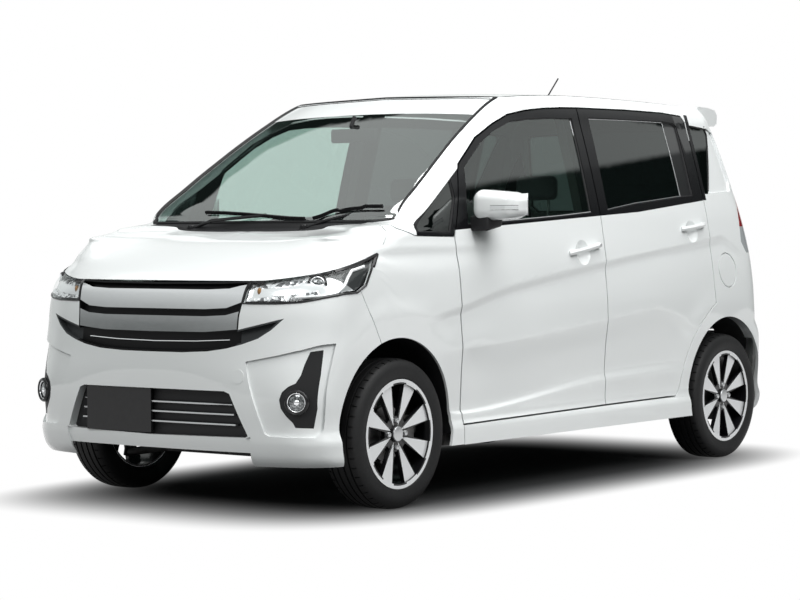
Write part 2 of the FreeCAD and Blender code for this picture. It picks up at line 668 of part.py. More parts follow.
# Floor, wheel arches' liners, front rails and the firewall.
FRONT_LINER_INNER = 396.0
REAR_LINER_INNER = 548.0
FIREWALL = 985.0
FIREWALL_WALL = 15.0
CABIN_FIT = half_tube(DOOR_WALL + POST_WALL + SEAL_GAP)
RAIL_TOP = 830.0
RAIL_LOW = 775.0
AXLE = TYRE_RADIUS
BALL = V(FRONT_AXLE, 655, 170)
TOP_MOUNT = V(FRONT_AXLE, 520, 760)
KING = TOP_MOUNT - BALL
KING.normalize()


def liner(x, y0, body):
    # The round cover over a wheel, open below and to the side.
    shell = arch_cylinder(x, ARCH_RADIUS + 4 + LINER, y0, 900).cut(arch_cylinder(x, ARCH_RADIUS + 4, y0, 900))
    return largest(shell.common(body).common(box(-BIG, BIG, 0, BIG, 262, BIG)))


def wheel_arch_liners():
    front_liner = liner(FRONT_ARCH, FRONT_LINER_INNER, half_tube(SKIN + SEAL_GAP, SKIN))
    front_liner = largest(front_liner.cut(rod(56, BALL, TOP_MOUNT)))
    rear_liner = liner(REAR_ARCH, REAR_LINER_INNER, half_tube(DOOR_WALL + SEAL_GAP))
    save("wheel_arch_liners", [front_liner, mirror(front_liner), rear_liner, mirror(rear_liner)])


def floor_pan():
    # The floor, its step up at the rear, the firewall, the front rails and strut seats.
    wall = FIREWALL + FIREWALL_WALL
    upper = REAR_FLOOR + REAR_FLOOR_WALL
    floor = box(-850, wall, 0, 900, FLOOR_TOP - FLOOR_WALL, FLOOR_TOP)
    floor = floor.fuse([
        box(-872, -850, 0, 900, FLOOR_TOP - FLOOR_WALL, upper),
        box(-1590, -872, 0, 900, REAR_FLOOR, upper),
        box(FIREWALL, wall, 0, 900, FLOOR_TOP, 1000),
        box(wall, 1520, 455, 545, RAIL_LOW, RAIL_TOP),
        box(1470, 1510, 480, 520, RAIL_TOP, 1000).common(half_tube(SKIN + SEAL_GAP, SKIN + SEAL_GAP)),
        rod(42, TOP_MOUNT + KING * SEAL_GAP, TOP_MOUNT + KING * 40)])
    floor = floor.common(CABIN_FIT).cut([ARCH_LINERS, arch_cylinder(REAR_ARCH, LINER_ROOM, 530, 900)])
    save("floor_pan", whole(floor))


# Cabin furniture. The steering wheel is on the car's right.
COLUMN_TILT = math.radians(25.0)
COLUMN = V(-math.cos(COLUMN_TILT), 0, math.sin(COLUMN_TILT))
WHEEL_HUB = V(470, -350, 905)
SEAT_FRONT = 330.0
SEAT_BACK = -200.0
CUSHION_LOW = 420.0
CUSHION_RISE = 30.0
CUSHION_TOP = 560.0


def dashboard():
    face = FIREWALL - SEAL_GAP
    outline = [(face, 640), (face, 985), (900, 1030), (700, 1000), (620, 930), (640, 820), (760, 640)]
    dash = whole(prism_y(outline, -10, 900).common(CABIN_FIT))
    save("dashboard", largest(dash.fuse(rod(34, WHEEL_HUB - COLUMN * 20, WHEEL_HUB - COLUMN * 330))))


def steering_wheel():
    ring = Part.makeTorus(STEERING_WHEEL_RADIUS, 14, WHEEL_HUB + COLUMN * 40, COLUMN)
    parts = [rod(58, WHEEL_HUB - COLUMN * (20 - SEAL_GAP), WHEEL_HUB + COLUMN * 36)]
    down = V(-math.sin(COLUMN_TILT), 0, -math.cos(COLUMN_TILT))
    for direction in (V(0, 1, 0), V(0, -1, 0), down):
        parts.append(rod(11, WHEEL_HUB + COLUMN * 22 + direction * 40,
                         WHEEL_HUB + COLUMN * 38 + direction * (STEERING_WHEEL_RADIUS - 2)))
    save("steering_wheel", largest(ring.fuse(parts)))


def seat(y, width, front, back, low, rise, top, tall, lean):
    # A cushion with a leaning backrest.
    half = width / 2
    cushion = prism_y([(front, low + rise), (front - 20, top), (back + 40, top - 35), (back, low)],
                      y - half, y + half)
    rest = prism_y([(back + 70, top - 50), (back + 10, low + 20), (back - 90, low + 20), (back - 90 - lean, tall),
                    (back + 25 - lean, tall)], y - half + 6, y + half - 6)
    return cushion.fuse(rest)


def headrest(y, x, z):
    head = box(x - 50, x + 45, y - 125, y + 125, z + 20, z + 170)
    return head.fuse([rod(7, V(x, y - 60, z - 40), V(x, y - 60, z + 30)),
                      rod(7, V(x, y + 60, z - 40), V(x, y + 60, z + 30))])


def seats():
    seats_made = []
    rails = []
    slope = CUSHION_RISE / (SEAT_FRONT - SEAT_BACK)
    for y in (SEAT_SIDE, -SEAT_SIDE):
        one = seat(y, SEAT_WIDTH, SEAT_FRONT, SEAT_BACK, CUSHION_LOW, CUSHION_RISE, CUSHION_TOP, 1130, 105)
        seats_made.append(one.fuse(headrest(y, SEAT_BACK - 140, 1120)))
        for offset in (-170, 170):
            rail = [(SEAT_FRONT - 60, FLOOR_TOP),
                    (SEAT_FRONT - 60, CUSHION_LOW + slope * (SEAT_FRONT - 60 - SEAT_BACK) - SEAL_GAP),
                    (SEAT_BACK + 20, CUSHION_LOW + slope * 20 - SEAL_GAP), (SEAT_BACK + 20, FLOOR_TOP)]
            rails.append(prism_y(rail, y + offset - 20, y + offset + 20))
    save("front_seats", seats_made)
    save("seat_rails", rails)
    save("rear_bench", seat(0, 1100, -480, -940, REAR_FLOOR + REAR_FLOOR_WALL + SEAL_GAP, 0, 540, 1080, 80))


# Engine, underbody and suspension.
def front_suspension():
    # The subframe with a wishbone each side.
    frame = box(900, 1260, -330, 330, 175, 228 - SEAL_GAP)
    frame = frame.fuse(box(1100, 1200, -300, 300, 200, 330 - SEAL_GAP))
    for sign in (1, -1):
        ball = V(BALL.x, BALL.y * sign, BALL.z)
        king = V(KING.x, KING.y * sign, KING.z)
        frame = frame.fuse([rod(16, V(1005, 300 * sign, 195), ball - king * 28),
                            rod(16, V(1240, 300 * sign, 195), ball - king * 28),
                            rod(20, ball - king * 42, ball - king * SEAL_GAP)])
    save("front_suspension", largest(frame))


def hub_carrier():
    # Upright, disc, caliper and strut, which steer together.
    face = FRONT_TRACK / 2 + 35
    carrier = rod(45, V(FRONT_AXLE, 585, AXLE), V(FRONT_AXLE, face - SEAL_GAP, AXLE))
    carrier = carrier.fuse([
        rod(DISC_RADIUS, V(FRONT_AXLE, 640, AXLE), V(FRONT_AXLE, 660, AXLE)),
        rod(19, BALL, BALL + KING * 100),
        rod(24, V(FRONT_AXLE, 534, 330), V(FRONT_AXLE, 528, 600)),
        rod(13, V(FRONT_AXLE, 530, 580), TOP_MOUNT - KING * 6),
        rod(10, TOP_MOUNT - KING * 24, TOP_MOUNT),
        box(FRONT_AXLE - 22, FRONT_AXLE + 22, 530, 600, 270, 380),
        box(FRONT_AXLE - 150, FRONT_AXLE - 70, 625, 675, 230, 340),
        box(FRONT_AXLE - 75, FRONT_AXLE, 600, 636, 262, 300)])
    save_pair("hub_carrier", largest(carrier))


def ring_of_flats(outline, count):
    # A ring with a many-sided round, so that a tyre stays light. One corner points straight
    # down when the wheel stands.
    rings = []
    for radius, along in outline:
        ring = []
        for i in range(count):
            turn = 2 * math.pi * i / count
            ring.append(V(radius * math.cos(turn), radius * math.sin(turn), along))
        rings.append(ring)
    faces = []
    for a, b in zip(rings, rings[1:] + rings[:1]):
        for i in range(count):
            j = (i + 1) % count
            faces.append(poly([a[i], a[j], b[j], b[i]]))
    shell = Part.Shell(faces)
    shell.sewShape()
    solid = Part.Solid(shell)
    if solid.Volume < 0:
        solid.reverse()
    return solid


def tyre():
    half = TYRE_WIDTH / 2
    bead = BEAD_RADIUS / math.cos(math.pi / TYRE_FLATS) + SEAL_GAP
    return ring_of_flats([(bead, -66), (TYRE_RADIUS - 43, -half), (TYRE_RADIUS - 12, -half + 5),
                          (TYRE_RADIUS, -half + 21), (TYRE_RADIUS, half - 21), (TYRE_RADIUS - 12, half - 5),
                          (TYRE_RADIUS - 43, half), (bead, 66)], TYRE_FLATS)


def rim():
    # Barrel and lip, hub, and spokes that widen outwards.
    inner = BEAD_RADIUS - 9
    barrel = [(inner, -66), (BEAD_RADIUS, -66), (BEAD_RADIUS, 71.5), (BEAD_RADIUS + 9, 71.5), (BEAD_RADIUS + 9, 75),
              (inner, 75)]
    parts = [Part.makeCylinder(66, 20, V(0, 0, 35)), Part.makeCylinder(31, 12, V(0, 0, 50))]
    for i in range(SPOKES):
        spoke = poly([V(50, -13, 38), V(inner + 2, -34, 48), V(inner + 2, 34, 48), V(50, 13, 38)])
        spoke = spoke.extrude(V(0, 0, 18))
        spoke.rotate(V(0, 0, 0), V(0, 0, 1), 360 * (i + 0.5) / SPOKES)
        parts.append(spoke)
    shape = poly([V(a, 0, b) for a, b in barrel]).revolve(V(0, 0, 0), V(0, 0, 1), 360)
    return largest(shape.fuse(parts).removeSplitter())


def wheels():
    # Made round the Z axis with the outer face up, then stood in place.
    shapes = {"tyre": tyre(), "rim": rim()}
    for where, x, track in (("front", FRONT_AXLE, FRONT_TRACK), ("rear", REAR_AXLE, REAR_TRACK)):
        for kind, shape in shapes.items():
            placed = shape.copy()
            placed.rotate(V(0, 0, 0), V(0, 0, 1), 90)
            placed.rotate(V(0, 0, 0), V(1, 0, 0), -90)
            placed.translate(V(x, track / 2, TYRE_RADIUS))
            save_pair(where + "_" + kind, placed)


def rear_axle():
    # The twist beam with its arms, stub axles, drums and spring seats.
    beam = box(-1130, -1060, -500, 500, 240, 300)
    parts = []
    for sign in (1, -1):
        low, high = sorted((sign * 470, sign * 520))
        parts += [box(REAR_AXLE - 30, -872 - SEAL_GAP, low, high, 235, 305),
                  rod(32, V(REAR_AXLE, sign * 480, AXLE),
                      V(REAR_AXLE, sign * (REAR_TRACK / 2 + 35 - SEAL_GAP), AXLE)),
                  rod(110, V(REAR_AXLE, sign * 600, AXLE), V(REAR_AXLE, sign * 655, AXLE)),
                  rod(45, V(-1180, sign * 495, 290), V(-1180, sign * 495, REAR_FLOOR - SEAL_GAP))]
    save("rear_axle", largest(beam.fuse(parts)))


def underbody():
    save("engine_block", box(1090, 1480, -360, 330, 330, 800))
    save("fuel_tank", box(-840, -420, -330, 200, 170, FLOOR_TOP - FLOOR_WALL - SEAL_GAP))
    muffler = box(-1560, -1420, -150, 350, 200, REAR_FLOOR - SEAL_GAP)
    save("exhaust", largest(muffler.fuse(rod(20, V(-1425, 250, 230), V(-900, 250, 205)))))


def antenna():
    mast = rod(3.2, V(-705, 150, HEIGHT - 3), V(-800, 150, HEIGHT + 90))
    mast = mast.fuse(rod(11, V(-705, 150, HEIGHT - 8), V(-705, 150, HEIGHT + 8)))
    save("antenna", largest(mast.cut(roof_solid(-SEAL_GAP))))


wheel_arch_liners()
floor_pan()
dashboard()
steering_wheel()
seats()
front_suspension()
hub_carrier()
wheels()
rear_axle()
underbody()
antenna()
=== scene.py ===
"""The looks of a white five-door kei car: finishes of its panels, and the pieces that finish them."""

import json
import math

import bpy
from mathutils import Matrix, Vector


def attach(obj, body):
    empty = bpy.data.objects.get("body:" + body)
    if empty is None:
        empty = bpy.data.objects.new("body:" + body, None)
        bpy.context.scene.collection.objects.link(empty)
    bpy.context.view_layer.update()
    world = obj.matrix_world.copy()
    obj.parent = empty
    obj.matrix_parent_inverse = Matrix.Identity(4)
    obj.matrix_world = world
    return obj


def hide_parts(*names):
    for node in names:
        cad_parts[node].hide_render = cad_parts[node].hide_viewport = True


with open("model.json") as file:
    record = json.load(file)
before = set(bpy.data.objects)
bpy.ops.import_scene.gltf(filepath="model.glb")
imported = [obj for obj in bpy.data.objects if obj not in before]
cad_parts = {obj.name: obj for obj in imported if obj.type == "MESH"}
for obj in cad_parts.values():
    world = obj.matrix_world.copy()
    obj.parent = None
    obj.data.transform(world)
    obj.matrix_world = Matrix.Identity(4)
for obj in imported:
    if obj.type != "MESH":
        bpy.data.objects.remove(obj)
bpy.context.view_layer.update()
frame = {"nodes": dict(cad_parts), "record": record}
nodes = frame["nodes"]


# Shader maths, written as expressions.

class Wire:
    """One output of a shader node. Arithmetic on it adds Math nodes."""

    def __init__(self, finish, socket):
        self.finish = finish
        self.socket = socket

    def _math(self, operation, *values, clamp=False):
        node = self.finish.node("ShaderNodeMath", {"operation": operation, "use_clamp": clamp},
                                dict(enumerate(values)))
        return Wire(self.finish, node.outputs[0])

    def __add__(self, other):
        return self._math("ADD", self, other)

    def __radd__(self, other):
        return self._math("ADD", other, self)

    def __sub__(self, other):
        return self._math("SUBTRACT", self, other)

    def __rsub__(self, other):
        return self._math("SUBTRACT", other, self)

    def __mul__(self, other):
        return self._math("MULTIPLY", self, other)

    def __truediv__(self, other):
        return self._math("DIVIDE", self, other)

    def __gt__(self, other):
        return self._math("GREATER_THAN", self, other)

    def __pow__(self, other):
        return self._math("POWER", self, other)

    def __abs__(self):
        return self._math("ABSOLUTE", self)

    def most(self, other):
        return self._math("MAXIMUM", self, other)

    def sine(self):
        return self._math("SINE", self)

    def clamped(self):
        return self._math("ADD", self, 0.0, clamp=True)

    def fraction(self):
        return self._math("FRACT", self)

    def angle(self, along):
        """The angle of a point, in radians, from its height and its way along."""
        return self._math("ARCTAN2", self, along)

    def step(self, low, high):
        """0 below low, 1 above high, smooth between."""
        ramp = self.finish.node("ShaderNodeMapRange", {"interpolation_type": "SMOOTHSTEP"},
                                {"Value": self, "From Min": low, "From Max": high})
        return Wire(self.finish, ramp.outputs["Result"])

    def edge(self):
        """1 where positive and 0 where negative, with an edge that is sharp to the eye."""
        return self.step(-0.0004, 0.0004)


class Finish:
    """A material written in code: one method adds any node."""

    def __init__(self, name):
        self.material = bpy.data.materials.new(name)
        self.material.use_nodes = True
        self.tree = self.material.node_tree
        self.tree.nodes.clear()

    def node(self, kind, settings=None, sockets=None):
        node = self.tree.nodes.new(kind)
        for key, value in (settings or {}).items():
            setattr(node, key, value)
        for key, value in (sockets or {}).items():
            socket = node.inputs[key]
            if isinstance(value, Wire):
                self.tree.links.new(value.socket, socket)
            elif isinstance(value, bpy.types.NodeSocket):
                self.tree.links.new(value, socket)
            else:
                socket.default_value = value
        return node

    def where(self):
        """The Object coordinates, as a vector."""
        return self.node("ShaderNodeTexCoord").outputs["Object"]

    def place(self):
        """The Object coordinates, as three wires."""
        split = self.node("ShaderNodeSeparateXYZ", None, {0: self.where()})
        return [Wire(self, s) for s in split.outputs]

    def noise(self, scale, detail=2.0):
        node = self.node("ShaderNodeTexNoise", None,
                         {"Vector": self.where(), "Scale": scale, "Detail": detail, "Roughness": 0.5})
        return Wire(self, node.outputs["Fac"])

    def mix(self, share, first, second):
        """A colour between two, by share."""
        node = self.node("ShaderNodeMix", {"data_type": "RGBA"}, {"Factor": share})
        for socket, value in ((node.inputs[6], first), (node.inputs[7], second)):
            if isinstance(value, Wire):
                self.tree.links.new(value.socket, socket)
            else:
                socket.default_value = (*value, 1.0)
        return Wire(self, node.outputs[2])

    def bump(self, height, distance, strength):
        node = self.node("ShaderNodeBump", None,
                         {"Height": height, "Distance": distance, "Strength": strength})
        return Wire(self, node.outputs["Normal"])

    def surface(self, colour, **more):
        """The Principled shader, joined to the output."""
        sockets = {"Base Color": colour if isinstance(colour, Wire) else (*colour, 1.0)}
        sockets.update({key.replace("_", " "): value for key, value in more.items()})
        shader = self.node("ShaderNodeBsdfPrincipled", None, sockets)
        self.show(shader.outputs[0])

    def show(self, socket):
        self.node("ShaderNodeOutputMaterial", None, {"Surface": socket})


# Places of the axles and the wheels' height, in metres, and colours that come up more than once.
FRONT_AXLE = 1.1325
REAR_AXLE = -1.2975
AXLE_HEIGHT = 0.281
WHITE = (0.80, 0.82, 0.82)
BLACK = (0.006, 0.006, 0.007)
SMOKED = ((0.20, 0.23, 0.225), 1.9)
SPOKES = 8


def painted(finish, mask=None, glazed=0.0):
    """White pearl paint under lacquer. Where mask is 1 a panel is black, and where glazed is 1 glossier."""
    drift = finish.noise(1.6, 1.0)
    white = finish.mix(drift, WHITE, (0.83, 0.85, 0.848))
    flake = finish.noise(2600.0, 0.0)
    rough, coat, colour = 0.34, 1.0, white
    if mask is not None:
        colour = finish.mix(mask, white, BLACK)
        rough = 0.34 - mask * 0.10
        coat = 1.0 - mask * 0.85 * (1.0 - glazed)
    finish.surface(colour, Roughness=rough, Coat_Weight=coat, Coat_Roughness=0.03, Specular_IOR_Level=0.22,
                   Normal=finish.bump(flake, 0.00002, 0.25))
    return finish.material


def pearl_paint():
    return painted(Finish("pearl_white_paint"))


def door_paint():
    """Doors are white below the belt line, which climbs rearwards, and gloss black round their windows."""
    finish = Finish("door_paint")
    x, y, z = finish.place()
    front_belt, rear_belt = 1.0895 - x * 0.0536, 1.0658 - x * 0.0924
    belt = front_belt.most(rear_belt) - 0.014
    corner = (-1.085 - (1.526 - z) * 0.2465 - x).edge()
    return painted(finish, (z - belt).edge(), corner)


def frame_paint():
    """The side frames are white, and black round the small window before the front door."""
    finish = Finish("side_frame_paint")
    x, y, z = finish.place()
    below_pillar = (1.1165 + (0.897 - x) * 0.640 - z).edge()
    above_belt = (z - 1.012).edge()
    ahead = (x - 0.600).edge() * (0.990 - x).edge()
    return painted(finish, below_pillar * above_belt * ahead)


def pillar_paint():
    """The roof rails are white, and the rear quarter is black where it borders the rear door's window."""
    finish = Finish("quarter_paint")
    x, y, z = finish.place()
    beside_door = (x + 1.215).edge() * (z - 1.163).edge()
    below_roof = (1.547 - z).edge()
    return painted(finish, beside_door * below_roof)


def gloss_black():
    finish = Finish("gloss_black")
    finish.surface(finish.mix(finish.noise(40.0), (0.010, 0.010, 0.011), (0.016, 0.016, 0.017)),
                   Roughness=0.16, Specular_IOR_Level=0.30)
    return finish.material


def grained_black():
    finish = Finish("grained_black")
    grain = finish.noise(900.0, 2.0)
    finish.surface(finish.mix(finish.noise(6.0), (0.009, 0.009, 0.010), (0.016, 0.016, 0.017)),
                   Roughness=grain * 0.25 + 0.42, Specular_IOR_Level=0.25,
                   Normal=finish.bump(grain, 0.0003, 0.6))
    return finish.material


def dark_grey_trim():
    """The grille is black, and dark grey at its lower outer tips."""
    finish = Finish("grille_black")
    x, y, z = finish.place()
    tip = (abs(y) - 0.400).step(-0.001, 0.001) * (0.725 - z).step(-0.001, 0.001)
    grain = finish.noise(900.0, 2.0)
    finish.surface(finish.mix(tip, (0.004, 0.004, 0.0045), (0.045, 0.048, 0.050)),
                   Roughness=grain * 0.2 + 0.35, Specular_IOR_Level=0.15,
                   Normal=finish.bump(grain, 0.0002, 0.4))
    return finish.material


def bright_chrome():
    finish = Finish("bright_chrome")
    finish.surface(finish.mix(finish.noise(3.0), (0.82, 0.83, 0.85), (0.88, 0.89, 0.90)),
                   Metallic=1.0, Roughness=finish.noise(30.0) * 0.05 + 0.07)
    return finish.material


def satin_silver():
    finish = Finish("satin_silver")
    finish.surface(finish.mix(finish.noise(14.0), (0.55, 0.56, 0.57), (0.64, 0.65, 0.66)),
                   Metallic=0.8, Roughness=finish.noise(60.0) * 0.1 + 0.28)
    return finish.material


def pane(name, tint, density, cover=None, paint=BLACK):
    """Window glass: tints what is behind it, reflects on its outside, and is painted where cover is 1."""
    finish = Finish(name)
    through = finish.node("ShaderNodeBsdfTransparent", None, {"Color": (*tint, 1.0)})
    gloss = finish.node("ShaderNodeBsdfGlossy", None, {"Color": (0.95, 0.98, 0.97, 1.0), "Roughness": 0.01})
    outer = 1.0 - Wire(finish, finish.node("ShaderNodeNewGeometry").outputs["Backfacing"])
    share = Wire(finish, finish.node("ShaderNodeFresnel", None, {"IOR": density}).outputs[0]) * outer
    mixed = finish.node("ShaderNodeMixShader", None,
                        {0: share, 1: through.outputs[0], 2: gloss.outputs[0]})
    if cover:
        drift = finish.mix(finish.noise(1.6, 1.0), paint, [c * 1.03 for c in paint])
        opaque = finish.node("ShaderNodeBsdfPrincipled", None, {
            "Base Color": drift, "Roughness": 0.34, "Coat Weight": 1.0, "Coat Roughness": 0.03})
        mixed = finish.node("ShaderNodeMixShader", None,
                            {0: cover(*finish.place()), 1: mixed.outputs[0], 2: opaque.outputs[0]})
    finish.show(mixed.outputs[0])
    return finish.material


def header(x, y, z):
    """The roof's front edge, painted over the top of the windscreen."""
    return (z - 1.512 + (abs(y) / 0.53) ** 2.0 * 0.016).step(-0.0005, 0.0005)


def behind_rear_glass(x, y, z):
    """The rear door's pane is black behind its clear part."""
    return (-0.987 - (1.509 - z) * 0.044 - x).edge()


def quarter_edge(x, y, z):
    """The rear side pane ends at a leaning edge, and the corner behind it is body colour."""
    return (-1.367 + (1.462 - z) * 0.400 - x).edge() * (x + 1.9).step(0.0, 0.01)


def lamp_housing():
    """The chamber behind the headlamp's lens: bright facets, some of them painted dark as reflections, and
    dark grey towards the rear tip.
    """
    finish = Finish("lamp_housing")
    x, y, z = finish.place()
    facets = finish.node("ShaderNodeTexVoronoi", None, {"Vector": finish.where(), "Scale": 70.0})
    cells = Wire(finish, facets.outputs["Distance"])
    parts = finish.node("ShaderNodeSeparateColor", None, {0: facets.outputs["Color"]})
    shade = Wire(finish, parts.outputs[0])
    middle = z - 0.806 - (1.64 - x) * 0.26
    ribbed = (abs(middle) - 0.014).step(-0.002, 0.003) * (x - 1.530).step(-0.004, 0.004)
    rear = (1.452 - x + middle * 1.2).step(-0.002, 0.002)
    # Random facets in the ribbed band get a dark base colour: a painted reflection, not a darker part.
    painted_reflection_facets = ribbed * (shade - 0.45).step(-0.1, 0.1)
    chamber = finish.mix(painted_reflection_facets, (0.86, 0.88, 0.89), (0.16, 0.165, 0.17))
    finish.surface(finish.mix(rear, chamber, (0.030, 0.033, 0.034)),
                   Metallic=0.55 - rear * 0.5, Roughness=0.20 + rear * 0.2,
                   Normal=finish.bump(cells * ribbed, 0.003, 0.8))
    return finish.material


def tail_lens():
    """Red over a smoked clear lower part, ribbed."""
    finish = Finish("tail_lens")
    x, y, z = finish.place()
    red = (z - 1.045).step(-0.001, 0.001)
    ribs = (z * 700.0).sine()
    finish.surface(finish.mix(red, (0.40, 0.42, 0.43), (0.30, 0.012, 0.016)),
                   Roughness=0.12, Coat_Weight=1.0, Coat_Roughness=0.02,
                   Normal=finish.bump(ribs, 0.0005, 0.5))
    return finish.material


def lamp_lens():
    """A grey glass lens with painted highlights: its colour is brighter on a fine noise pattern of ribs."""
    finish = Finish("lamp_lens")
    ribs = finish.noise(160.0, 1.0)
    # The brighter colour on the rib pattern is a painted highlight.
    finish.surface(finish.mix(ribs.step(0.35, 0.75), (0.06, 0.065, 0.068), (0.42, 0.44, 0.45)),
                   Metallic=0.5, Roughness=0.08, Coat_Weight=1.0, Coat_Roughness=0.02)
    return finish.material


def pale_reflector():
    finish = Finish("pale_reflector")
    finish.surface(finish.mix(finish.noise(40.0), (0.80, 0.82, 0.83), (0.88, 0.90, 0.90)),
                   Metallic=0.2, Roughness=0.25)
    return finish.material


def glowing_amber():
    finish = Finish("amber_bulb")
    finish.surface(finish.mix(finish.noise(90.0), (0.20, 0.09, 0.02), (0.34, 0.16, 0.04)), Roughness=0.15)
    return finish.material


def rubber():
    """Tyre rubber with a fine uneven grain."""
    finish = Finish("tyre_rubber")
    finish.surface(finish.mix(finish.noise(14.0), (0.006, 0.006, 0.0065), (0.011, 0.011, 0.0115)),
                   Roughness=finish.noise(120.0) * 0.2 + 0.5, Specular_IOR_Level=0.3,
                   Normal=finish.bump(finish.noise(220.0, 3.0), 0.0006, 0.35))
    return finish.material


def dark_steel():
    finish = Finish("dark_underbody_coat")
    finish.surface(finish.mix(finish.noise(8.0, 4.0), (0.018, 0.018, 0.019), (0.045, 0.043, 0.041)),
                   Roughness=finish.noise(60.0) * 0.3 + 0.5, Metallic=0.2)
    return finish.material


def plain_steel():
    finish = Finish("plain_steel")
    finish.surface(finish.mix(finish.noise(12.0, 4.0), (0.16, 0.16, 0.17), (0.32, 0.31, 0.30)),
                   Roughness=finish.noise(80.0) * 0.25 + 0.3, Metallic=0.9)
    return finish.material


def two_tone_alloy():
    """Machined spoke faces that taper to the hub, a machined rim lip, and gloss black everywhere else."""
    finish = Finish("two_tone_alloy")
    x, y, z = finish.place()
    along = x - REAR_AXLE - (x > 0.0) * (FRONT_AXLE - REAR_AXLE)
    up = z - AXLE_HEIGHT
    radius = (along * along + up * up) ** 0.5
    turn = up.angle(along) * (SPOKES / (2.0 * math.pi))
    across = abs(radius * (((turn + SPOKES).fraction() - 0.5) * (2.0 * math.pi / SPOKES)).sine())
    normal = finish.node("ShaderNodeTexCoord").outputs["Normal"]
    facing = abs(Wire(finish, finish.node("ShaderNodeSeparateXYZ", None, {0: normal}).outputs[1]))
    side = abs(y)
    spoke = (0.005 + (radius - 0.055) * 0.215 - across).edge()
    face = spoke * (side - 0.6995).step(-0.0005, 0.0005)
    lip = (radius - 0.1920).edge()
    machined = face.most(lip) * (facing - 0.93).step(-0.02, 0.02)
    lines = (radius * 9000.0).sine()
    finish.surface(finish.mix(machined, BLACK, (0.78, 0.79, 0.80)),
                   Metallic=machined * 0.35, Roughness=0.20 + machined * 0.10,
                   Normal=finish.bump(lines, 0.00002, 0.2))
    return finish.material


def seat_cloth():
    finish = Finish("seat_cloth")
    weave = finish.noise(700.0, 1.0)
    finish.surface(finish.mix(weave, (0.030, 0.030, 0.034), (0.085, 0.085, 0.092)),
                   Roughness=0.9, Sheen_Weight=0.3, Normal=finish.bump(weave, 0.0006, 0.6))
    return finish.material


def dash_plastic():
    finish = Finish("dash_plastic")
    grain = finish.noise(800.0, 2.0)
    finish.surface(finish.mix(finish.noise(5.0), (0.040, 0.040, 0.043), (0.060, 0.060, 0.064)),
                   Roughness=grain * 0.2 + 0.55, Normal=finish.bump(grain, 0.0003, 0.5))
    return finish.material


PAINT = pearl_paint()
DOOR_PAINT = door_paint()
FRAME_PAINT = frame_paint()
QUARTER_PAINT = pillar_paint()
GLOSS = gloss_black()
GRAINED = grained_black()
GRILLE_BLACK = dark_grey_trim()
CHROME = bright_chrome()
SILVER = satin_silver()
CLEAR = pane("clear_lens", (0.97, 0.975, 0.975), 1.35)
SHIELD = pane("windscreen_glass", (0.80, 0.87, 0.85), 3.4, header, WHITE)
GREEN = pane("green_tinted_glass", (0.76, 0.86, 0.82), 2.0)
PRIVACY = pane("privacy_glass", *SMOKED)
REAR_PANE = pane("rear_door_glass", *SMOKED, behind_rear_glass)
QUARTER_PANE = pane("quarter_glass", *SMOKED, quarter_edge, WHITE)
HOUSING = lamp_housing()
TAIL = tail_lens()
AMBER = glowing_amber()
LENS = lamp_lens()
PALE = pale_reflector()
RUBBER = rubber()
UNDERBODY = dark_steel()
STEEL = plain_steel()
ALLOY = two_tone_alloy()
CLOTH = seat_cloth()
DASH = dash_plastic()

BY_SLOT = {
    "body_paint": PAINT, "body_black": GLOSS, "trim_black": GRAINED, "bright_metal": CHROME,
    "lamp_clear": CLEAR, "window_glass": GREEN, "window_dark": PRIVACY, "steel_dark": UNDERBODY,
    "steel_plain": STEEL, "cast": UNDERBODY, "wheel_alloy": ALLOY, "tyre_rubber": RUBBER,
    "seat_cloth": CLOTH, "dash_plastic": DASH,
}
BY_NODE = {"windscreen": SHIELD, "rear_quarters": QUARTER_PAINT, "grille": GRILLE_BLACK, "tail_lamps": TAIL,
           "side_frames": FRAME_PAINT, "fixed_side_glass": QUARTER_PANE}
for hand in ("left", "right"):
    BY_NODE["front_door_" + hand] = BY_NODE["rear_door_" + hand] = DOOR_PAINT
    BY_NODE["rear_door_glass_" + hand] = REAR_PANE


def dress(node, material):
    """Gives a CAD node its finish through its material slots."""
    slots = nodes[node].data.materials
    for k in range(len(slots)):
        slots[k] = material
    if not slots:
        slots.append(material)


for part in frame["record"]["subparts"]:
    dress(part["node"], BY_NODE.get(part["node"], BY_SLOT[part["material_slot"]]))


# Modelling helpers.

def only(piece):
    bpy.ops.object.select_all(action="DESELECT")
    piece.select_set(True)
    bpy.context.view_layer.objects.active = piece


def start(kind, name, **settings):
    """A primitive at its place, ready to be shaped."""
    bpy.ops.object.select_all(action="DESELECT")
    getattr(bpy.ops.mesh, "primitive_" + kind + "_add")(**settings)
    piece = bpy.context.object
    piece.name = name
    return piece


def edit(piece):
    only(piece)
    bpy.ops.object.mode_set(mode="EDIT")
    bpy.ops.mesh.select_all(action="SELECT")


def object_mode():
    bpy.ops.object.mode_set(mode="OBJECT")


def line(name, points):
    """A run of edges through points."""
    piece = start("plane", name, size=0.01)
    edit(piece)
    bpy.ops.mesh.merge(type="CENTER")
    bpy.ops.transform.translate(value=points[0])
    for a, b in zip(points, points[1:]):
        bpy.ops.mesh.extrude_region_move(TRANSFORM_OT_translate={"value": Vector(b) - Vector(a)})
    object_mode()
    return piece


def block(name, outline, depth):
    """A closed block: an outline pushed through by depth."""
    piece = line(name, outline)
    edit(piece)
    bpy.ops.mesh.edge_face_add()
    bpy.ops.mesh.extrude_region_move(TRANSFORM_OT_translate={"value": depth})
    bpy.ops.mesh.select_all(action="SELECT")
    bpy.ops.mesh.normals_make_consistent(inside=False)
    object_mode()
    return piece


def modify(piece, kind, **settings):
    only(piece)
    modifier = piece.modifiers.new(kind.lower(), kind)
    for key, value in settings.items():
        setattr(modifier, key, value)
    bpy.ops.object.modifier_apply(modifier=modifier.name)
    return piece


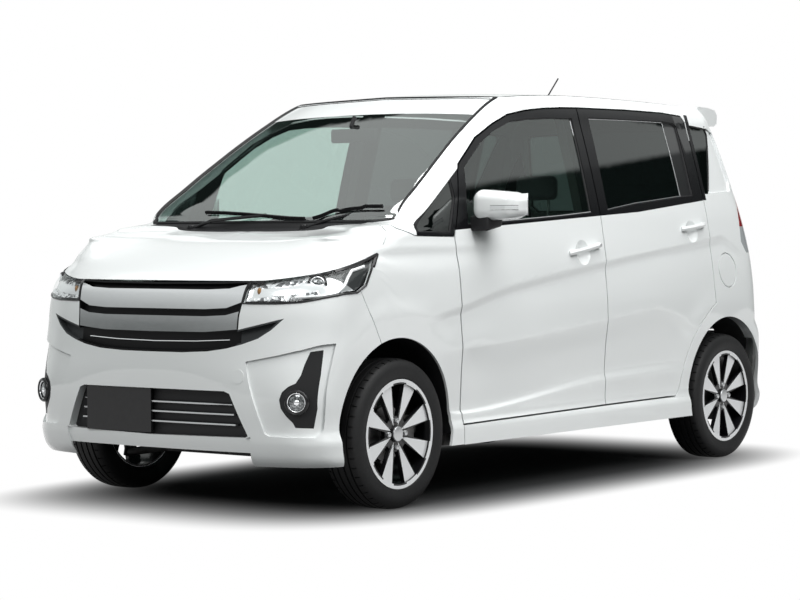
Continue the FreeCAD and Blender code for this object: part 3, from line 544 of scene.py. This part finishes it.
def round_bar(run, radius, resolution=1):
    """Gives a run of edges a round section."""
    only(run)
    bpy.ops.object.convert(target="CURVE")
    run = bpy.context.object
    run.data.bevel_depth = radius
    run.data.bevel_resolution = resolution
    run.data.use_fill_caps = True
    bpy.ops.object.convert(target="MESH")
    return bpy.context.object


def tube(name, points, radius):
    """A round bar along points."""
    return round_bar(line(name, points), radius, 2)


def between(a, b, count):
    """Points from a to b in even steps."""
    a, b = Vector(a), Vector(b)
    return [tuple(a.lerp(b, k / count)) for k in range(count + 1)]


def through(points, step):
    """Points along a run of straights, no further apart than step."""
    found = []
    for a, b in zip(points, points[1:]):
        count = max(1, math.ceil((Vector(b) - Vector(a)).length / step))
        found += between(a, b, count)[:-1]
    return found + [tuple(points[-1])]


def linked(name, data):
    """A new object in the scene over its data."""
    made = bpy.data.objects.new(name, data)
    bpy.context.scene.collection.objects.link(made)
    return made


def joined(pieces):
    """One piece out of several."""
    bpy.ops.object.select_all(action="DESELECT")
    for piece in pieces:
        piece.select_set(True)
    bpy.context.view_layer.objects.active = pieces[0]
    if len(pieces) > 1:
        bpy.ops.object.join()
    return pieces[0]


def settle(piece):
    """Writes a piece's place, turn and size into its mesh."""
    only(piece)
    bpy.ops.object.transform_apply(location=True, rotation=True, scale=True)
    return piece


def shift(piece, by):
    """Moves a piece's mesh, and leaves its origin."""
    edit(piece)
    bpy.ops.transform.translate(value=by)
    object_mode()
    return piece


def squeeze(piece, by, **about):
    """Scales a piece's mesh along each axis."""
    edit(piece)
    bpy.ops.transform.resize(value=by, **about)
    object_mode()
    return piece


def laid_on(piece, axis, target, offset=0.0, forwards=False):
    """Lays a piece on target along an axis, towards its low end unless forwards."""
    return modify(piece, "SHRINKWRAP", target=target, wrap_method="PROJECT", use_positive_direction=forwards,
                  use_negative_direction=not forwards, offset=offset, **{"use_project_" + axis: True})


def finish_piece(piece, material, body="body_shell", angle=35.0):
    """Settles a piece in place, gives it its finish, and rides it on its body."""
    settle(piece)
    piece.data.materials.clear()
    piece.data.materials.append(material)
    bpy.ops.object.shade_smooth_by_angle(angle=math.radians(angle))
    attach(piece, body)


def twin(piece, name, body):
    """The like piece on the car's right."""
    other = linked(name, piece.data.copy())
    other.scale = (1, -1, 1)
    edit(settle(other))
    bpy.ops.mesh.flip_normals()
    object_mode()
    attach(other, body)


def both(piece, material, body="body_shell"):
    """Finishes a left piece and makes its twin."""
    finish_piece(piece, material, body)
    twin(piece, piece.name.replace("_left", "") + "_right", body.replace("_left", "_right"))


def copy_of(name, *wanted):
    """A merged copy of CAD nodes, to trim or to lay trims on."""
    merged = joined([linked(name, nodes[node].data.copy()) for node in wanted])
    edit(merged)
    bpy.ops.mesh.remove_doubles(threshold=0.00001)
    object_mode()
    return merged


SIDE = copy_of("side_surface", "front_door_left", "rear_door_left", "front_door_glass_left",
               "rear_door_glass_left", "rear_quarters", "side_frames", "front_fenders", "fixed_side_glass")
NOSE = copy_of("nose_surface", "front_bumper", "headlamps", "bonnet", "grille", "front_fenders",
               "upper_grille_bar", "lower_grille_bar", "fog_lamps")
SCREEN_GLASS = copy_of("screen_surface", "windscreen", "cowl")
TAIL_SURFACE = copy_of("tail_surface", "tailgate", "tailgate_glass", "rear_bumper")


def side_run(name, points, step, target):
    """A run of edges laid on the left side of target. Points are (x, z)."""
    return laid_on(line(name, through([(x, 0.9, z) for x, z in points], step)), "y", target)


def rim_of(name, node, way, keep=None):
    """The edges that bound a node's outer face. Way points outwards on the left, and keep tests a place."""
    facing, sharp = 0.5, math.radians(40)
    source = copy_of(name + "_source", node)
    mesh = source.data
    outer = set()
    for face in mesh.polygons:
        side = -1.0 if face.center.y < 0 else 1.0
        if face.normal.dot(Vector((way[0], way[1] * side, way[2]))) > facing:
            outer.update(face.vertices)
    only(source)
    bpy.ops.object.mode_set(mode="EDIT")
    bpy.ops.mesh.select_mode(type="EDGE")
    bpy.ops.mesh.select_all(action="DESELECT")
    bpy.ops.mesh.edges_select_sharp(sharpness=sharp)
    object_mode()
    for edge in mesh.edges:
        middle = (mesh.vertices[edge.vertices[0]].co + mesh.vertices[edge.vertices[1]].co) / 2
        edge.select = (edge.select and all(v in outer for v in edge.vertices)
                       and (keep is None or keep(middle.x, abs(middle.y), middle.z)))
    bpy.ops.object.mode_set(mode="EDIT")
    bpy.ops.mesh.duplicate()
    bpy.ops.mesh.separate(type="SELECTED")
    bpy.ops.mesh.select_mode(type="VERT")
    object_mode()
    found = [o for o in bpy.context.selected_objects if o != source][0]
    bpy.data.objects.remove(source)
    found.name = name
    return found


def seal(name, node, way, radius, material, body="body_shell", keep=None, by=(0, 0, 0)):
    """A round bead along a pane's or lamp's rim."""
    run = shift(rim_of(name, node, way, keep), by)
    finish_piece(round_bar(run, radius), material, body)


OUTWARDS = (0.0, 1.0, 0.0)
FORWARDS = (0.77, 0.62, 0.15)


def window_mouldings():
    """Black seals round every pane, a belt moulding under each door's, and bright lines inside them."""
    belt = {"front": lambda x, y, z: z < 1.103 - x * 0.054, "rear": lambda x, y, z: z < 1.106 - x * 0.0924}
    rear_end = {"front": -0.236, "rear": -1.000}
    bright_line = 0.0014
    for side, sign in (("left", 1.0), ("right", -1.0)):
        for door in ("front", "rear"):
            pane_node = "%s_door_glass_%s" % (door, side)
            body = "door_%s_%s" % (door, side)
            seal("%s_glass_seal_%s" % (door, side), pane_node, OUTWARDS, 0.0055, GRAINED, body)
            seal("%s_belt_moulding_%s" % (door, side), pane_node, OUTWARDS, 0.0080, GRAINED, body,
                 belt[door], (0, sign * 0.001, -0.006))
            seal("%s_bright_moulding_%s" % (door, side), pane_node, OUTWARDS, bright_line, SILVER, body,
                 lambda x, y, z: belt[door](x, y, z) and z < 1.19 and x > rear_end[door],
                 (0.004, sign * 0.005, 0.006))
    for name, body, run in (
            ("front_upright_line", "door_front", [(-0.236, 1.110), (-0.242, 1.300), (-0.240, 1.490)]),
            ("rear_upright_line", "door_rear", [(-1.001, 1.182), (-0.995, 1.340), (-0.988, 1.502)]),
            ("rear_upper_line", "door_rear", [(-0.984, 1.506), (-0.700, 1.506), (-0.385, 1.502)])):
        piece = shift(side_run(name + "_left", run, 0.03, SIDE), (0, 0.001, 0))
        both(round_bar(piece, bright_line), SILVER, body + "_left")
    seal("fixed_glass_seals", "fixed_side_glass", OUTWARDS, 0.0060, GRAINED, "body_shell",
         lambda x, y, z: x > -1.36 + (1.462 - z) * 0.40)
    edge = side_run("quarter_edge_left", [(-1.345, 1.500), (-1.362, 1.478), (-1.367, 1.462), (-1.316, 1.330),
                                          (-1.262, 1.205)], 0.02, SIDE)
    both(round_bar(edge, 0.0040), GRAINED)
    seal("windscreen_seal", "windscreen", (0.5, 0.0, 0.86), 0.0085, GRAINED, "body_shell", None,
         (0, 0, 0.002))
    seal("tailgate_glass_seal", "tailgate_glass", (-1.0, 0.0, 0.2), 0.0060, GRAINED, "tailgate_lid")


def grille_and_bumper():
    """The fine bright line in the lower grille, the intake's bars and the tow eye's cover."""
    lower = [(-0.352, 0.641), (-0.200, 0.634), (0.0, 0.631), (0.200, 0.634), (0.352, 0.641)]
    fine = line("grille_fine_line", through([(2.2, y, z) for y, z in lower], 0.02))
    finish_piece(round_bar(laid_on(fine, "x", NOSE), 0.0030), CHROME)
    for k, (height, reach) in enumerate(((0.335, 0.385), (0.372, 0.378), (0.408, 0.371))):
        run = line("intake_bar_%d" % (k + 1), through([(1.680 - abs(y) ** 2 * 0.10, y, height)
                                                       for y in (-reach, -0.2, 0.0, 0.2, reach)], 0.04))
        finish_piece(round_bar(run, 0.0032), SILVER)
    cover = settle(start("circle", "tow_eye_cover", radius=0.026, vertices=48, fill_type="NGON",
                         location=(0, 0, 0), rotation=(0, math.pi / 2, 0)))
    edit(cover)
    bpy.ops.mesh.inset(thickness=0.003)
    bpy.ops.transform.translate(value=(0.0012, 0, 0))
    object_mode()
    laid_on(shift(cover, (2.1, 0.413, 0.512)), "x", NOSE, 0.0006)
    edit(cover)
    bpy.ops.mesh.normals_make_consistent(inside=False)
    object_mode()
    modify(cover, "SOLIDIFY", thickness=0.0016, offset=0.0)
    finish_piece(cover, PAINT)


def aimed(piece, place, aim, out):
    """Turns a piece that faces up so that it faces along aim, and puts it at its place."""
    piece.rotation_euler = aim.to_track_quat("Z", "Y").to_euler()
    piece.location = place + aim * out
    return piece


def dome(name, radius, flat):
    """A lens: a ball squeezed along its axis."""
    return squeeze(start("uv_sphere", name, radius=radius, segments=40, ring_count=20), (1, 1, flat))


def ring(name, radius, section, deep=1.0):
    return squeeze(start("torus", name, major_radius=radius, minor_radius=section, major_segments=48,
                         minor_segments=12), (1, 1, deep))


def headlamps():
    """A bright chamber behind each lens, with a projector, a strip of light and a bulb."""
    behind_lens = 0.012
    chamber = copy_of("headlamp_chamber", "headlamps")
    edit(chamber)
    bpy.ops.transform.shrink_fatten(value=-behind_lens)
    object_mode()
    finish_piece(chamber, HOUSING)
    aim = Vector((1.0, 0.70, 0.06)).normalized()
    place = Vector((1.524, 0.654, 0.845))
    both(aimed(ring("projector_bezel_left", 0.031, 0.0055, 1.8), place, aim, -0.016), GLOSS)
    both(aimed(ring("projector_ring_left", 0.0255, 0.0028, 1.5), place, aim, -0.009), CHROME)
    both(aimed(dome("projector_lens_left", 0.0255, 0.55), place, aim, -0.018), LENS)
    strip = [(1.590, 0.797), (1.530, 0.802), (1.480, 0.812), (1.446, 0.836), (1.420, 0.866), (1.392, 0.890),
             (1.325, 0.905)]
    surface = copy_of("lamp_surface", "headlamps")
    run = shift(side_run("lamp_light_strip_left", strip, 0.015, surface), (-0.003, -0.0045, 0))
    bpy.data.objects.remove(surface)
    both(round_bar(run, 0.0062), PALE)
    bulb = squeeze(dome("amber_bulb_left", 0.009, 1.0), (1.0, 0.8, 1.5))
    bulb.location = (1.618, 0.462, 0.818)
    both(bulb, AMBER)
    seal("headlamp_seals", "headlamps", FORWARDS, 0.0042, GLOSS)
    # A thick black band along each lamp's top: partly black trim, partly a painted shadow of the bonnet gap
    # above it.
    seal("headlamp_brows_and_gap_shadow", "headlamps", FORWARDS, 0.0085, GLOSS, "body_shell",
         lambda x, y, z: z > 0.838 + (1.62 - x) * 0.20, (-0.002, 0, -0.004))


def fog_lamps():
    """A round clear lamp with its bright bowl in each black bezel."""
    aim = Vector((0.93, 0.37, 0.0)).normalized()
    place = Vector((1.622, 0.637, 0.424))
    both(aimed(ring("fog_lamp_rim_left", 0.040, 0.0075, 1.6), place, aim, 0.002), GLOSS)
    both(aimed(ring("fog_lamp_ring_left", 0.0335, 0.0022), place, aim, 0.007), CHROME)
    both(aimed(dome("fog_lamp_bowl_left", 0.034, 0.30), place, aim, -0.002), LENS)
    both(aimed(dome("fog_lamp_bulb_left", 0.013, 0.8), place, aim, 0.002), CHROME)


def tyre_profile():
    """A radial tyre's section: (across, radius) from the inner bead over the tread to the outer bead."""
    outer = [(0.0110, 0.281), (0.0115, 0.2745), (0.0185, 0.2745), (0.0190, 0.2808), (0.0390, 0.2804),
             (0.0395, 0.2740), (0.0465, 0.2740), (0.0470, 0.2796), (0.0620, 0.2768), (0.0700, 0.2725),
             (0.0760, 0.2650), (0.0796, 0.2560), (0.0803, 0.2540), (0.0822, 0.2470), (0.0822, 0.2350),
             (0.0800, 0.2200), (0.0765, 0.2090), (0.0768, 0.2075), (0.0738, 0.2050), (0.0680, 0.2010),
             (0.0660, 0.1960)]
    return [(-a, r) for a, r in reversed(outer)] + outer


def wheel_pieces():
    """Tyres with grooves and shoulder cuts, lug nuts and centre caps."""
    steps = 180
    shoulder = (0.048, 0.0705)
    border, depth = 0.0022, 0.005
    pattern = line("tyre_pattern", [(0, a, r) for a, r in tyre_profile()])
    edit(pattern)
    bpy.ops.mesh.edge_face_add()
    bpy.ops.mesh.delete(type="ONLY_FACE")
    bpy.ops.mesh.select_all(action="SELECT")
    bpy.ops.mesh.spin(steps=steps, angle=2 * math.pi, center=(0, 0, 0), axis=(0, 1, 0))
    bpy.ops.mesh.select_all(action="SELECT")
    bpy.ops.mesh.remove_doubles(threshold=0.00005)
    bpy.ops.mesh.normals_make_consistent(inside=False)
    bpy.ops.mesh.select_all(action="DESELECT")
    object_mode()
    for face in pattern.data.polygons:
        c = face.center
        turn = round((math.degrees(math.atan2(c.z, c.x)) % 360) / (360 / steps) - 0.5)
        face.select = shoulder[0] < abs(c.y) < shoulder[1] and turn % 4 == (0 if c.y > 0 else 2)
    only(pattern)
    bpy.ops.object.mode_set(mode="EDIT")
    bpy.ops.mesh.select_mode(type="FACE")
    bpy.ops.mesh.inset(thickness=border)
    bpy.ops.mesh.extrude_region_shrink_fatten(TRANSFORM_OT_shrink_fatten={"value": -depth})
    bpy.ops.mesh.select_mode(type="VERT")
    object_mode()
    lying = (math.pi / 2, 0, 0)
    nut = settle(start("cylinder", "nut_pattern", vertices=6, radius=0.0105, depth=0.016, rotation=lying))
    modify(nut, "BEVEL", width=0.0022, segments=2)
    cap = settle(start("cylinder", "cap_pattern", vertices=48, radius=0.028, depth=0.008, rotation=lying))
    modify(cap, "BEVEL", width=0.0028, segments=3)
    ends = (("front", FRONT_AXLE, 0.650), ("rear", REAR_AXLE, 0.645))
    nut_circle = 0.050
    quarters = [k * math.pi / 2 for k in range(4)]
    for end, x, track in ends:
        for side, sign in (("left", 1), ("right", -1)):
            body = "wheel_%s_%s" % (end, side)
            made = []
            for source, name, places in (
                    (pattern, "tyre", [(0, 0, 0)]),
                    (nut, "lug_nuts", [(nut_circle * math.cos(turn), 0.059, nut_circle * math.sin(turn))
                                       for turn in quarters]),
                    (cap, "centre_cap", [(0, 0.0648, 0)])):
                group = []
                for where in places:
                    piece = linked("%s_%s_%s" % (end, side, name), source.data.copy())
                    piece.location = (x + where[0], sign * (track + where[1]), AXLE_HEIGHT + where[2])
                    group.append(piece)
                made.append(joined(group))
            finish_piece(made[0], RUBBER, body, 28)
            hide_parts("%s_tyre_%s" % (end, side))
            finish_piece(made[1], SILVER, body)
            finish_piece(made[2], SILVER, body)
    for piece in (pattern, nut, cap):
        bpy.data.objects.remove(piece)


def handle(name, centre, front, rear, body):
    """A bar handle that bows out from the door."""
    foot, bow = 0.004, 0.014
    points = [(front[0], 0.9, front[1]), (centre[0], 0.9, centre[1]), (rear[0], 0.9, rear[1])]
    run = laid_on(line(name, through(points, 0.012)), "y", SIDE)
    high = max(v.co.y for v in run.data.vertices)
    for k, vertex in enumerate(run.data.vertices):
        share = k / (len(run.data.vertices) - 1)
        vertex.co.y = high + foot + bow * math.sin(math.pi * share) ** 0.6
    bar = squeeze(round_bar(run, 0.010), (1, 0.75, 1.15), center_override=(centre[0], high, centre[1]))
    both(bar, PAINT, body)


def door_handles():
    handle("front_handle_left", (-0.128, 0.953), (-0.026, 0.940), (-0.252, 0.969), "door_front_left")
    handle("rear_handle_left", (-1.035, 1.042), (-0.948, 1.035), (-1.140, 1.052), "door_rear_left")
    lock = settle(start("cylinder", "front_keyhole_left", vertices=32, radius=0.0085, depth=0.006,
                        location=(-0.243, 0.728, 0.968), rotation=(math.pi / 2, 0, 0)))
    modify(lock, "BEVEL", width=0.0015, segments=2)
    finish_piece(lock, SILVER, "door_front_left")


def mirrors():
    """Rounded housings that taper to their outer ends, with black feet, turn signals and glass."""
    length, width, height = 0.138, 0.196, 0.122
    housing = settle(start("cube", "mirror_housing_left", size=1.0, location=(0.582, 0.798, 1.131),
                           scale=(length, width, height)))
    modify(housing, "BEVEL", width=0.042, segments=8)
    middle, face, straight, outer = 1.118, 0.513, 0.730, 0.166
    lean, thinner = 0.034, 0.26
    for vertex in housing.data.vertices:
        share = max(0.0, (vertex.co.y - straight) / outer) ** 2.0
        vertex.co.x -= lean * share * max(0.0, (vertex.co.x - face) / length)
        vertex.co.z = middle + (vertex.co.z - middle) * (1.0 - thinner * share)
    for name, low, high, out, material in (
            ("mirror_signal_left", 1.112, 1.128, 0.0016, PALE),
            ("mirror_signal_upper_line_left", 1.128, 1.1295, 0.0020, GLOSS),
            ("mirror_signal_middle_line_left", 1.1200, 1.1210, 0.0024, SILVER),
            ("mirror_signal_lower_line_left", 1.1105, 1.112, 0.0020, GLOSS)):
        band = line(name, through([(0.690, 0.800, low), (0.672, 0.850, low), (0.640, 0.890, low),
                                   (0.600, 0.898, low)], 0.006))
        edit(band)
        bpy.ops.mesh.extrude_region_move(TRANSFORM_OT_translate={"value": (0, 0, high - low)})
        object_mode()
        modify(band, "SHRINKWRAP", target=housing, wrap_method="NEAREST_SURFACEPOINT",
               wrap_mode="ABOVE_SURFACE", offset=out / 2)
        modify(band, "SOLIDIFY", thickness=out, offset=0.0)
        both(band, material, "door_front_left")
    both(housing, PAINT, "door_front_left")
    foot = block("mirror_foot_left", [(0.640, 0.690, 1.030), (0.540, 0.690, 1.048), (0.535, 0.690, 1.096),
                                      (0.636, 0.690, 1.090)], (0, 0.090, 0))
    modify(foot, "BEVEL", width=0.010, segments=3)
    both(foot, GRAINED, "door_front_left")
    corners = [(0.5125, y, z) for y, z in ((0.716, 1.092), (0.880, 1.092), (0.880, 1.176), (0.716, 1.176))]
    glass = block("mirror_glass_left", corners, (-0.0030, 0, 0))
    modify(glass, "BEVEL", width=0.0010, segments=1)
    both(glass, CHROME, "door_front_left")
    for hand in ("left", "right"):
        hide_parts("mirror_" + hand)


def wipers():
    """Two wipers at rest along the foot of the windscreen."""
    for name, pivot, knee, tip, blade in (
            ("left_wiper", (1.105, 0.245, 1.045), (1.085, 0.330, 1.072), (1.020, 0.470, 1.108),
             ((1.070, 0.265, 1.090), (1.012, 0.560, 1.120))),
            ("right_wiper", (1.110, -0.330, 1.045), (1.100, -0.230, 1.078), (1.062, 0.020, 1.098),
             ((1.055, -0.300, 1.098), (1.070, 0.225, 1.088)))):
        arm = tube(name + "_arm", [pivot, knee, tip], 0.0065)
        finish_piece(arm, GLOSS)
        hub = start("cylinder", name + "_hub", vertices=32, radius=0.017, depth=0.030, location=pivot)
        modify(hub, "BEVEL", width=0.004, segments=3)
        finish_piece(hub, GLOSS)
        run = line(name + "_blade", between(blade[0], blade[1], 20))
        laid_on(run, "z", SCREEN_GLASS, 0.010)
        edit(run)
        bpy.ops.mesh.extrude_region_move(TRANSFORM_OT_translate={"value": (0.006, 0, 0.012)})
        object_mode()
        modify(run, "SOLIDIFY", thickness=0.006, offset=0.0)
        finish_piece(run, GLOSS)


def roof_ditches():
    """Dark strips where the roof meets the rails."""
    along = 0.5245
    run = line("roof_ditch_left", through([(0.290, along, 1.9), (-1.385, along, 1.9)], 0.05))
    laid_on(run, "z", copy_of("roof_surface", "roof_panel", "side_frames", "rear_quarters"), -0.0015)
    both(round_bar(run, 0.0035), GRAINED)
    bpy.data.objects.remove(bpy.data.objects["roof_surface"])


SEAT_SIDE = 0.343
PAD_VOXEL = 0.012
PAD_SWELL = 0.020
PAD_PRESSURE = 4.0
CLOTH_FRAMES = 20
SEAM_WIDTH = 0.012
SEAM_DEPTH = 0.006


def pad(name, outline, half, middle, node, seams=(), cap=PAD_SWELL):
    """A seat's pad: a block swelled by cloth simulation, no further than cap, then its seams drawn in."""
    piece = block(name, [(x, middle - half, z) for x, z in outline], (0, 2 * half, 0))
    modify(piece, "BEVEL", width=0.022, segments=3)
    modify(piece, "REMESH", mode="VOXEL", voxel_size=PAD_VOXEL)
    rest = [v.co.copy() for v in piece.data.vertices]
    only(piece)
    swell = piece.modifiers.new("swell", "CLOTH")
    swell.settings.quality = 4
    swell.settings.use_pressure = True
    swell.settings.uniform_pressure_force = PAD_PRESSURE
    swell.settings.effector_weights.gravity = 0.0
    for count in range(1, CLOTH_FRAMES + 1):
        bpy.context.scene.frame_set(count)
    bpy.ops.object.modifier_apply(modifier="swell")
    bpy.context.scene.frame_set(1)
    for vertex, place in zip(piece.data.vertices, rest):
        move = vertex.co - place
        vertex.co = place + move * min(1.0, cap / max(move.length, 1e-6))
    modify(piece, "SMOOTH", factor=0.5, iterations=4)
    modify(piece, "SUBSURF", levels=1, render_levels=1)
    for vertex in piece.data.vertices:
        near = min([abs(abs(vertex.co.y - middle) - seam) for seam in seams] or [1.0])
        if near < SEAM_WIDTH:
            vertex.co -= vertex.normal * SEAM_DEPTH * (1.0 - near / SEAM_WIDTH) ** 0.5
    finish_piece(piece, CLOTH, "body_shell", 60)
    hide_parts(node)


def seats():
    """Cushions, backs and headrests, as the pads that they are, with the headrests' posts."""
    for side, middle in (("left", SEAT_SIDE), ("right", -SEAT_SIDE)):
        pad("front_cushion_" + side, [(0.304, 0.474), (0.290, 0.536), (-0.148, 0.504), (-0.168, 0.452)],
            0.212, middle, "front_seats", (0.135,))
        pad("front_back_" + side, [(-0.160, 0.520), (-0.200, 0.478), (-0.262, 0.478), (-0.370, 1.108),
                                   (-0.302, 1.108)], 0.206, middle, "front_seats", (0.130,))
        pad("front_headrest_" + side, [(-0.315, 1.160), (-0.318, 1.268), (-0.366, 1.268), (-0.370, 1.160)],
            0.103, middle, "front_seats", cap=0.018)
        for k, along in enumerate((-0.060, 0.060)):
            post = tube("headrest_post_%s_%d" % (side, k + 1), [(-0.336, middle + along, 1.09),
                                                                (-0.342, middle + along, 1.17)], 0.006)
            finish_piece(post, STEEL)
            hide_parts("front_seats")
    low = min(v.co.z for v in nodes["rear_bench"].data.vertices)
    pad("rear_cushion", [(-0.506, low + 0.022), (-0.520, 0.518), (-0.880, 0.486), (-0.910, low + 0.022)],
        0.526, 0.0, "rear_bench", (0.0, 0.262))
    pad("rear_back", [(-0.900, 0.520), (-0.952, low + 0.045), (-1.008, low + 0.045), (-1.086, 1.058),
                      (-1.020, 1.058)], 0.520, 0.0, "rear_bench", (0.0, 0.262))


def cabin_mirror():
    """The mirror that hangs inside the windscreen, on its arm."""
    housing = block("cabin_mirror", [(0.470, -0.115, 1.395), (0.462, 0.115, 1.395), (0.462, 0.115, 1.452),
                                     (0.470, -0.115, 1.452)], (0.026, 0, 0))
    modify(housing, "BEVEL", width=0.010, segments=3)
    finish_piece(housing, GRAINED)
    arm = tube("cabin_mirror_arm", [(0.490, 0.0, 1.430), (0.500, 0.0, 1.462), (0.478, 0.0, 1.500)], 0.009)
    finish_piece(arm, GRAINED)


def tail_pieces():
    """The blank plate, the tailgate's handle bar, the rear wiper and the tailpipe's tip."""
    plate = start("cube", "rear_plate", size=1.0, location=(-1.6315, 0.0, 0.790),
                  scale=(0.008, 0.330, 0.165))
    modify(plate, "BEVEL", width=0.003, segments=2)
    finish_piece(plate, PAINT, "tailgate_lid")
    bar = tube("tailgate_handle", [(-1.640, -0.26, 0.930), (-1.652, -0.24, 0.932), (-1.652, 0.24, 0.932),
                                   (-1.640, 0.26, 0.930)], 0.011)
    finish_piece(bar, CHROME, "tailgate_lid")
    arm = tube("rear_wiper_arm", [(-1.612, 0.0, 1.095), (-1.622, 0.02, 1.10), (-1.600, 0.20, 1.165)], 0.006)
    finish_piece(arm, GLOSS, "tailgate_lid")
    run = line("rear_wiper_blade", between((-2.2, 0.03, 1.150), (-2.2, 0.34, 1.165), 12))
    blade = shift(laid_on(run, "x", TAIL_SURFACE, 0.0, True), (-0.008, 0, 0))
    finish_piece(round_bar(blade, 0.006), GLOSS, "tailgate_lid")
    pipe = start("cylinder", "tailpipe_tip", vertices=40, radius=0.026, depth=0.10, end_fill_type="NOTHING",
                 location=(-1.600, 0.30, 0.225), rotation=(0, math.pi / 2, 0))
    modify(pipe, "SOLIDIFY", thickness=0.002)
    finish_piece(pipe, CHROME)


window_mouldings()
grille_and_bumper()
headlamps()
fog_lamps()
wheel_pieces()
door_handles()
mirrors()
wipers()
roof_ditches()
seats()
cabin_mirror()
tail_pieces()
for surface in (SIDE, NOSE, SCREEN_GLASS, TAIL_SURFACE):
    bpy.data.objects.remove(surface)


# The camera was fitted to the photograph. Lamps are given by name, place, width and power.
CAMERA_PLACE = (8.1462, 6.0831, 1.0376)
CAMERA_WAY = (-0.7945, -0.6066, -0.0294)
CAMERA_ROLL = math.radians(-0.31)
PHOTO_WIDTH = 800.0
FOCAL_PIXELS = 2386.37
SENSOR_WIDTH = 36.0
# The size of the painted shadow on the floor round the car.
PAINTED_SHADOW_LENGTH = 1.95
PAINTED_SHADOW_WIDTH = 1.05
SIDE_HORIZON = 0.283
SCREEN_HORIZON = (0.400, 0.635)
LAMPS = (("overhead", (0.4, 1.5, 5.5), 4.5, 200.0), ("front", (7.0, 1.5, 4.5), 3.0, 130.0),
         ("side", (1.0, 5.5, 5.0), 3.5, 210.0))


def camera():
    """The photograph's view."""
    forward = Vector(CAMERA_WAY).normalized()
    level = forward.cross(Vector((0, 0, 1))).normalized()
    lift = level.cross(forward)
    right = math.cos(CAMERA_ROLL) * level + math.sin(CAMERA_ROLL) * lift
    up = -math.sin(CAMERA_ROLL) * level + math.cos(CAMERA_ROLL) * lift
    data = bpy.data.cameras.new("camera")
    eye = linked("camera", data)
    turn = Matrix((right, up, -forward)).transposed().to_4x4()
    eye.matrix_world = Matrix.Translation(CAMERA_PLACE) @ turn
    data.sensor_width = SENSOR_WIDTH
    data.lens = FOCAL_PIXELS * SENSOR_WIDTH / PHOTO_WIDTH
    data.clip_end = 200.0
    bpy.context.scene.camera = eye


def white_floor():
    """A dark floor that takes the car's real shadow, inside a painted shadow: an ellipse round the car that
    the camera sees dark and that fades to white further out.
    """
    floor = start("plane", "floor", size=80.0, location=(0, 0, 0))
    finish = Finish("white_floor")
    x, y, z = finish.place()
    # The ellipse is a painted shadow: inside it the camera sees the dark matt floor, outside it white.
    past_painted_shadow = ((x / PAINTED_SHADOW_LENGTH) ** 4.0 + (y / PAINTED_SHADOW_WIDTH) ** 4.0).step(0.12, 1.25)
    paths = finish.node("ShaderNodeLightPath")
    seen = Wire(finish, paths.outputs["Is Camera Ray"]).most(Wire(finish, paths.outputs["Is Glossy Ray"]))
    seen = seen.most(Wire(finish, paths.outputs["Is Transmission Ray"]))
    matt = finish.node("ShaderNodeBsdfDiffuse", None, {"Color": (0.055, 0.056, 0.057, 1.0)})
    glow = finish.node("ShaderNodeEmission", None, {"Color": (1, 1, 1, 1), "Strength": 1.0})
    mixed = finish.node("ShaderNodeMixShader", None,
                        {0: past_painted_shadow * seen, 1: matt.outputs[0], 2: glow.outputs[0]})
    finish.show(mixed.outputs[0])
    floor.data.materials.append(finish.material)


def studio():
    """A bright sky with dark parts for the panes to mirror, and three soft lamps."""
    world = bpy.data.worlds.new("studio")
    bpy.context.scene.world = world
    world.use_nodes = True
    sky = Finish.__new__(Finish)
    sky.material, sky.tree = world, world.node_tree
    sky.tree.nodes.clear()
    where = sky.node("ShaderNodeTexCoord").outputs["Generated"]
    x, y, z = [Wire(sky, part) for part in sky.node("ShaderNodeSeparateXYZ", None, {0: where}).outputs]
    behind = (0.25 - x).step(0.0, 0.25)
    right = (0.1 - y).step(0.0, 0.2)
    left_sky = (z - SIDE_HORIZON).step(-0.004, 0.004)
    lowest, highest = SCREEN_HORIZON
    right_sky = 1.0 - (z - lowest).step(-0.02, 0.02) * (highest - z).step(-0.006, 0.006)
    front_sky = (z * 1.95 + 0.12).clamped()
    bright = behind * (left_sky * (1.0 - right) + right_sky * right) + (1.0 - behind) * front_sky
    band = sky.mix(bright, (0.020, 0.028, 0.026), (0.93, 0.96, 0.95))
    paths = sky.node("ShaderNodeLightPath")
    lit = sky.node("ShaderNodeBackground", None, {"Color": band, "Strength": 0.80})
    seen = sky.node("ShaderNodeBackground", None, {"Color": (1.0, 1.0, 1.0, 1.0), "Strength": 1.0})
    mixed = sky.node("ShaderNodeMixShader", None,
                     {0: paths.outputs["Is Camera Ray"], 1: lit.outputs[0], 2: seen.outputs[0]})
    sky.node("ShaderNodeOutputWorld", None, {"Surface": mixed.outputs[0]})
    for name, place, size, power in LAMPS:
        lamp = bpy.data.lights.new(name, "AREA")
        lamp.shape = "DISK"
        lamp.size = size
        lamp.energy = power
        holder = linked(name, lamp)
        holder.location = place
        holder.rotation_euler = (Vector((0, 0, 0.7)) - Vector(place)).to_track_quat("-Z", "Y").to_euler()
    bpy.context.scene.view_settings.view_transform = "Standard"


camera()
white_floor()
studio()
